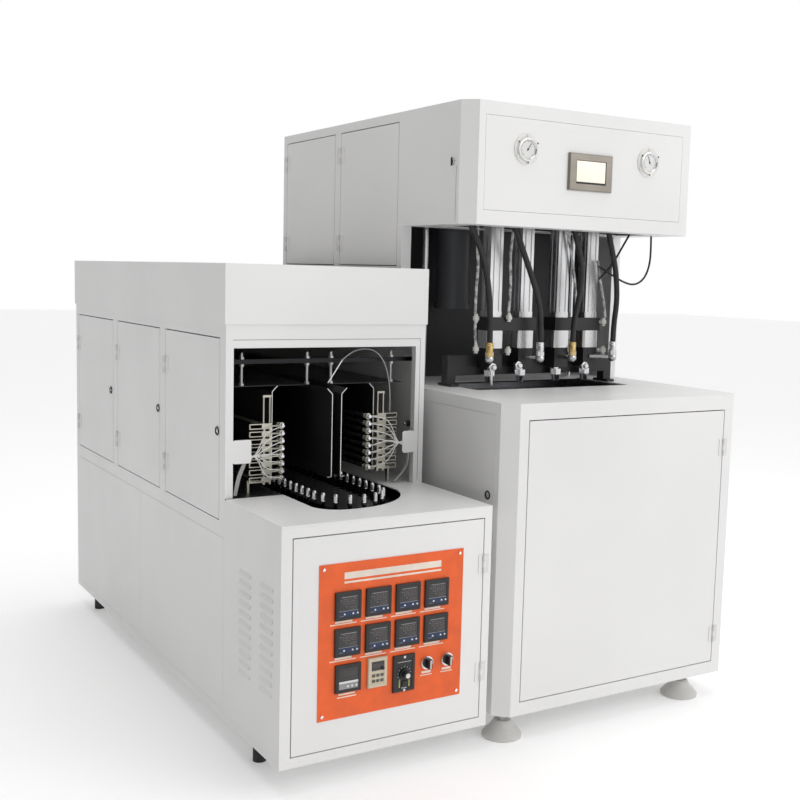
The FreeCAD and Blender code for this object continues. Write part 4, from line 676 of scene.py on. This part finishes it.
nurbs("cable_right", [[(572, 12 + 4 * k, 778), (577, 16 + 4 * k, 745), (562, 24 + 3 * k, 708),
                       (536, 30 + 2 * k, 684)] for k in range(3)], 4.5, CABLE, "frame")
nurbs("cable_arching", [[(355, 36, 1036), (372, 36, 1052), (400, 36, 1069), (436, 36, 1076), (470, 36, 1068),
                         (497, 36, 1040), (514, 36, 994), (522, 38, 936), (522, 40, 890)]], 3.2, CABLE,
      "frame")
bars("oven_stay_bright", [((316, 980), (360, 1044), 3.0, 29, 32)], BRIGHT_EDGE, "frame")
turned("oven_knob", [([(0, 14), (7, 14), (9, 11), (9, 7), (4, 6), (4, 0)], (606, 58, 850), LEFTWARD)],
       BLACK_PLASTIC, "frame", 24)
turned("oven_knob_stem", [([(0, 24), (4, 24), (5, 22), (5, 14), (0, 14)], (606, 58, 850), LEFTWARD)],
       CHROME, "frame", 24)

# ---------------------------------------------------------------- hoses and fittings
BLOW_X = 1085.0
HOSES = (
    ((-336, -8, 1448), (-311, -8, 1405), (-277, -4, 1340), (-256, 0, 1265), (-245, 4, 1195),
     (-239, 8, 1140), (-239, 8, 1090)),
    ((-176, -8, 1448), (-148, -8, 1390), (-118, -6, 1330), (-88, -3, 1270), (-62, 1, 1208),
     (-51, 4, 1150), (-51, 4, 1090)),
    ((54, -8, 1448), (72, -8, 1395), (93, -6, 1340), (98, -3, 1285), (92, 1, 1220),
     (76, 4, 1150), (76, 4, 1090)),
    ((191, -8, 1448), (209, -8, 1392), (229, -6, 1335), (243, -2, 1275), (250, 2, 1212),
     (244, 6, 1145), (244, 6, 1090)),
)
HOSE = plastic("hose_black", (0.009, 0.009, 0.010), 0.5, 0.00012, 500.0)
ferrule = [(9.2, -1), (11.6, 0), (11.6, 3), (11.2, 4), (11.6, 5), (11.6, 9), (11.2, 10), (11.6, 11),
           (11.6, 28), (13.4, 29), (13.4, 42), (9.5, 44), (9.5, 46)]
brass, steel = [], []
for number, route in enumerate(HOSES):
    points = [(BLOW_X + x, y, z) for (x, y, z) in route]
    hose = nurbs("air_hose_%d" % (number + 1), [points], 18.0, HOSE, "frame")
    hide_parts("air_hoses")
    (steel if number % 2 else brass).append((ferrule, points[-1], (0, 0, -1)))
turned("ferrules_brass", brass, BRASS, "frame", 28)
turned("ferrules_steel", steel, CHROME, "frame", 28)
plug = [(11, 0), (11, 6), (14, 6), (14, 17), (9, 18), (9, 26), (7, 28), (0, 28)]
turned("carrier_plugs", [(plug, (978, 53, 1016), FRONTWARD), (plug, (1241, 53, 1010), FRONTWARD),
                         (plug, (880, 53, 1012), FRONTWARD)], CHROME, "frame", 6)

CLEAR = Shader("tube_clear", (0.62, 0.63, 0.62), 0.18, IOR=1.45, Coat_Weight=0.5)
CLEAR.roughen(CLEAR.noise(40.0, 3.0), 0.1, 0.3)
CLEAR.tint(CLEAR.remap(CLEAR.noise(55.0, 3.0), 0.4, 0.6, 0, 1), (0.16, 0.165, 0.165, 1))
CLEAR.bump(CLEAR.noise(90.0), 0.0006, 0.7)
NYLON = plastic("fitting_white", (0.70, 0.69, 0.65), 0.4)
tubes = [[(813, 42, 1440), (814, 44, 1382), (821, 45, 1315), (815, 45, 1247), (813, 42, 1176)],
         [(813, 40, 1150), (811, 40, 1110), (818, 40, 1080)],
         [(948, 46, 1440), (936, 46, 1356), (943, 46, 1295), (942, 45, 1220), (937, 44, 1176)],
         [(1156, 46, 1440), (1173, 46, 1379), (1193, 46, 1285), (1206, 45, 1190), (1200, 44, 1150)],
         [(1284, 46, 1350), (1296, 46, 1290), (1316, 46, 1225), (1324, 44, 1165)]]
nurbs("clear_tubes", tubes, 9.0, CLEAR, "frame")
knuckle = [(0, -13), (6, -13), (6, -7), (9.5, -6), (9.5, 6), (6, 7), (6, 13), (0, 13)]
joints = []
for x, z in ((815, 1162), (818, 1069), (937, 1165), (937, 1062), (1192, 1062), (1314, 1152),
             (1316, 1060)):
    joints.append((knuckle, (x, 40, z), (0, 0, 1)))
    joints.append(([(0, 0), (7, 0), (7, 16), (0, 16)], (x, 40, z), (0.6 if x < 1000 else -0.6, 1, 0)))
turned("tube_fittings", joints, NYLON, "frame", 20)
thin_tubes = [[(1485, 20, 1440), (1488, 20, 1390), (1484, 20, 1335), (1462, 20, 1292), (1420, 20, 1272),
               (1368, 20, 1284), (1320, 22, 1308), (1274, 30, 1332)],
              [(1398, 20, 1445), (1368, 20, 1402), (1335, 20, 1352), (1310, 24, 1318), (1286, 40, 1288)]]
nurbs("thin_black_tubes", thin_tubes, 6.5, HOSE, "frame")
nurbs("deck_rod", [[(878, 40, 1010), (878, 40, 980), (879, 40, 956)]], 9.0, CHROME, "frame")

# ---------------------------------------------------------------- stage and light
floor = bpy.data.meshes.new("floor")
bm = bmesh.new()
bmesh.ops.create_grid(bm, x_segments=2, y_segments=2, size=30.0)
bm.to_mesh(floor)
bm.free()
ground = bpy.data.objects.new("floor", floor)
ground.location = (0, 0, -0.0004)
bpy.context.scene.collection.objects.link(ground)
FLOOR = Shader("floor_pale", (0.95, 0.95, 0.95), 0.7, Emission_Color=(1, 1, 1, 1),
               Emission_Strength=0.16)
FLOOR.roughen(FLOOR.noise(3.0), 0.6, 0.8)
floor.materials.append(FLOOR.material)

world = bpy.data.worlds.new("studio")
bpy.context.scene.world = world
world.use_nodes = True
tree = world.node_tree
background = tree.nodes["Background"]
background.inputs["Color"].default_value = (1.0, 1.0, 1.0, 1.0)
across = tree.nodes.new("ShaderNodeSeparateXYZ")
tree.links.new(tree.nodes.new("ShaderNodeTexCoord").outputs["Generated"], across.inputs[0])
shade = tree.nodes.new("ShaderNodeMapRange")
for socket, number in (("From Min", -0.85), ("From Max", 0.12), ("To Min", 0.20), ("To Max", 1.0)):
    shade.inputs[socket].default_value = number
tree.links.new(across.outputs[0], shade.inputs["Value"])
tree.links.new(shade.outputs["Result"], background.inputs["Strength"])


def area(name, place, target, size, power):
    data = bpy.data.lights.new(name, "AREA")
    data.shape = "RECTANGLE"
    data.size, data.size_y = size
    data.energy = power
    made = bpy.data.objects.new(name, data)
    made.location = place
    made.rotation_mode = "QUATERNION"
    made.rotation_quaternion = (Vector(target) - Vector(place)).to_track_quat("-Z", "Y")
    bpy.context.scene.collection.objects.link(made)


area("key", (2.4, -4.4, 3.4), (0, 0, 0.9), (3.0, 2.0), 40)
area("top", (0, 0, 4.5), (0, 0, 0), (4.0, 4.0), 45)
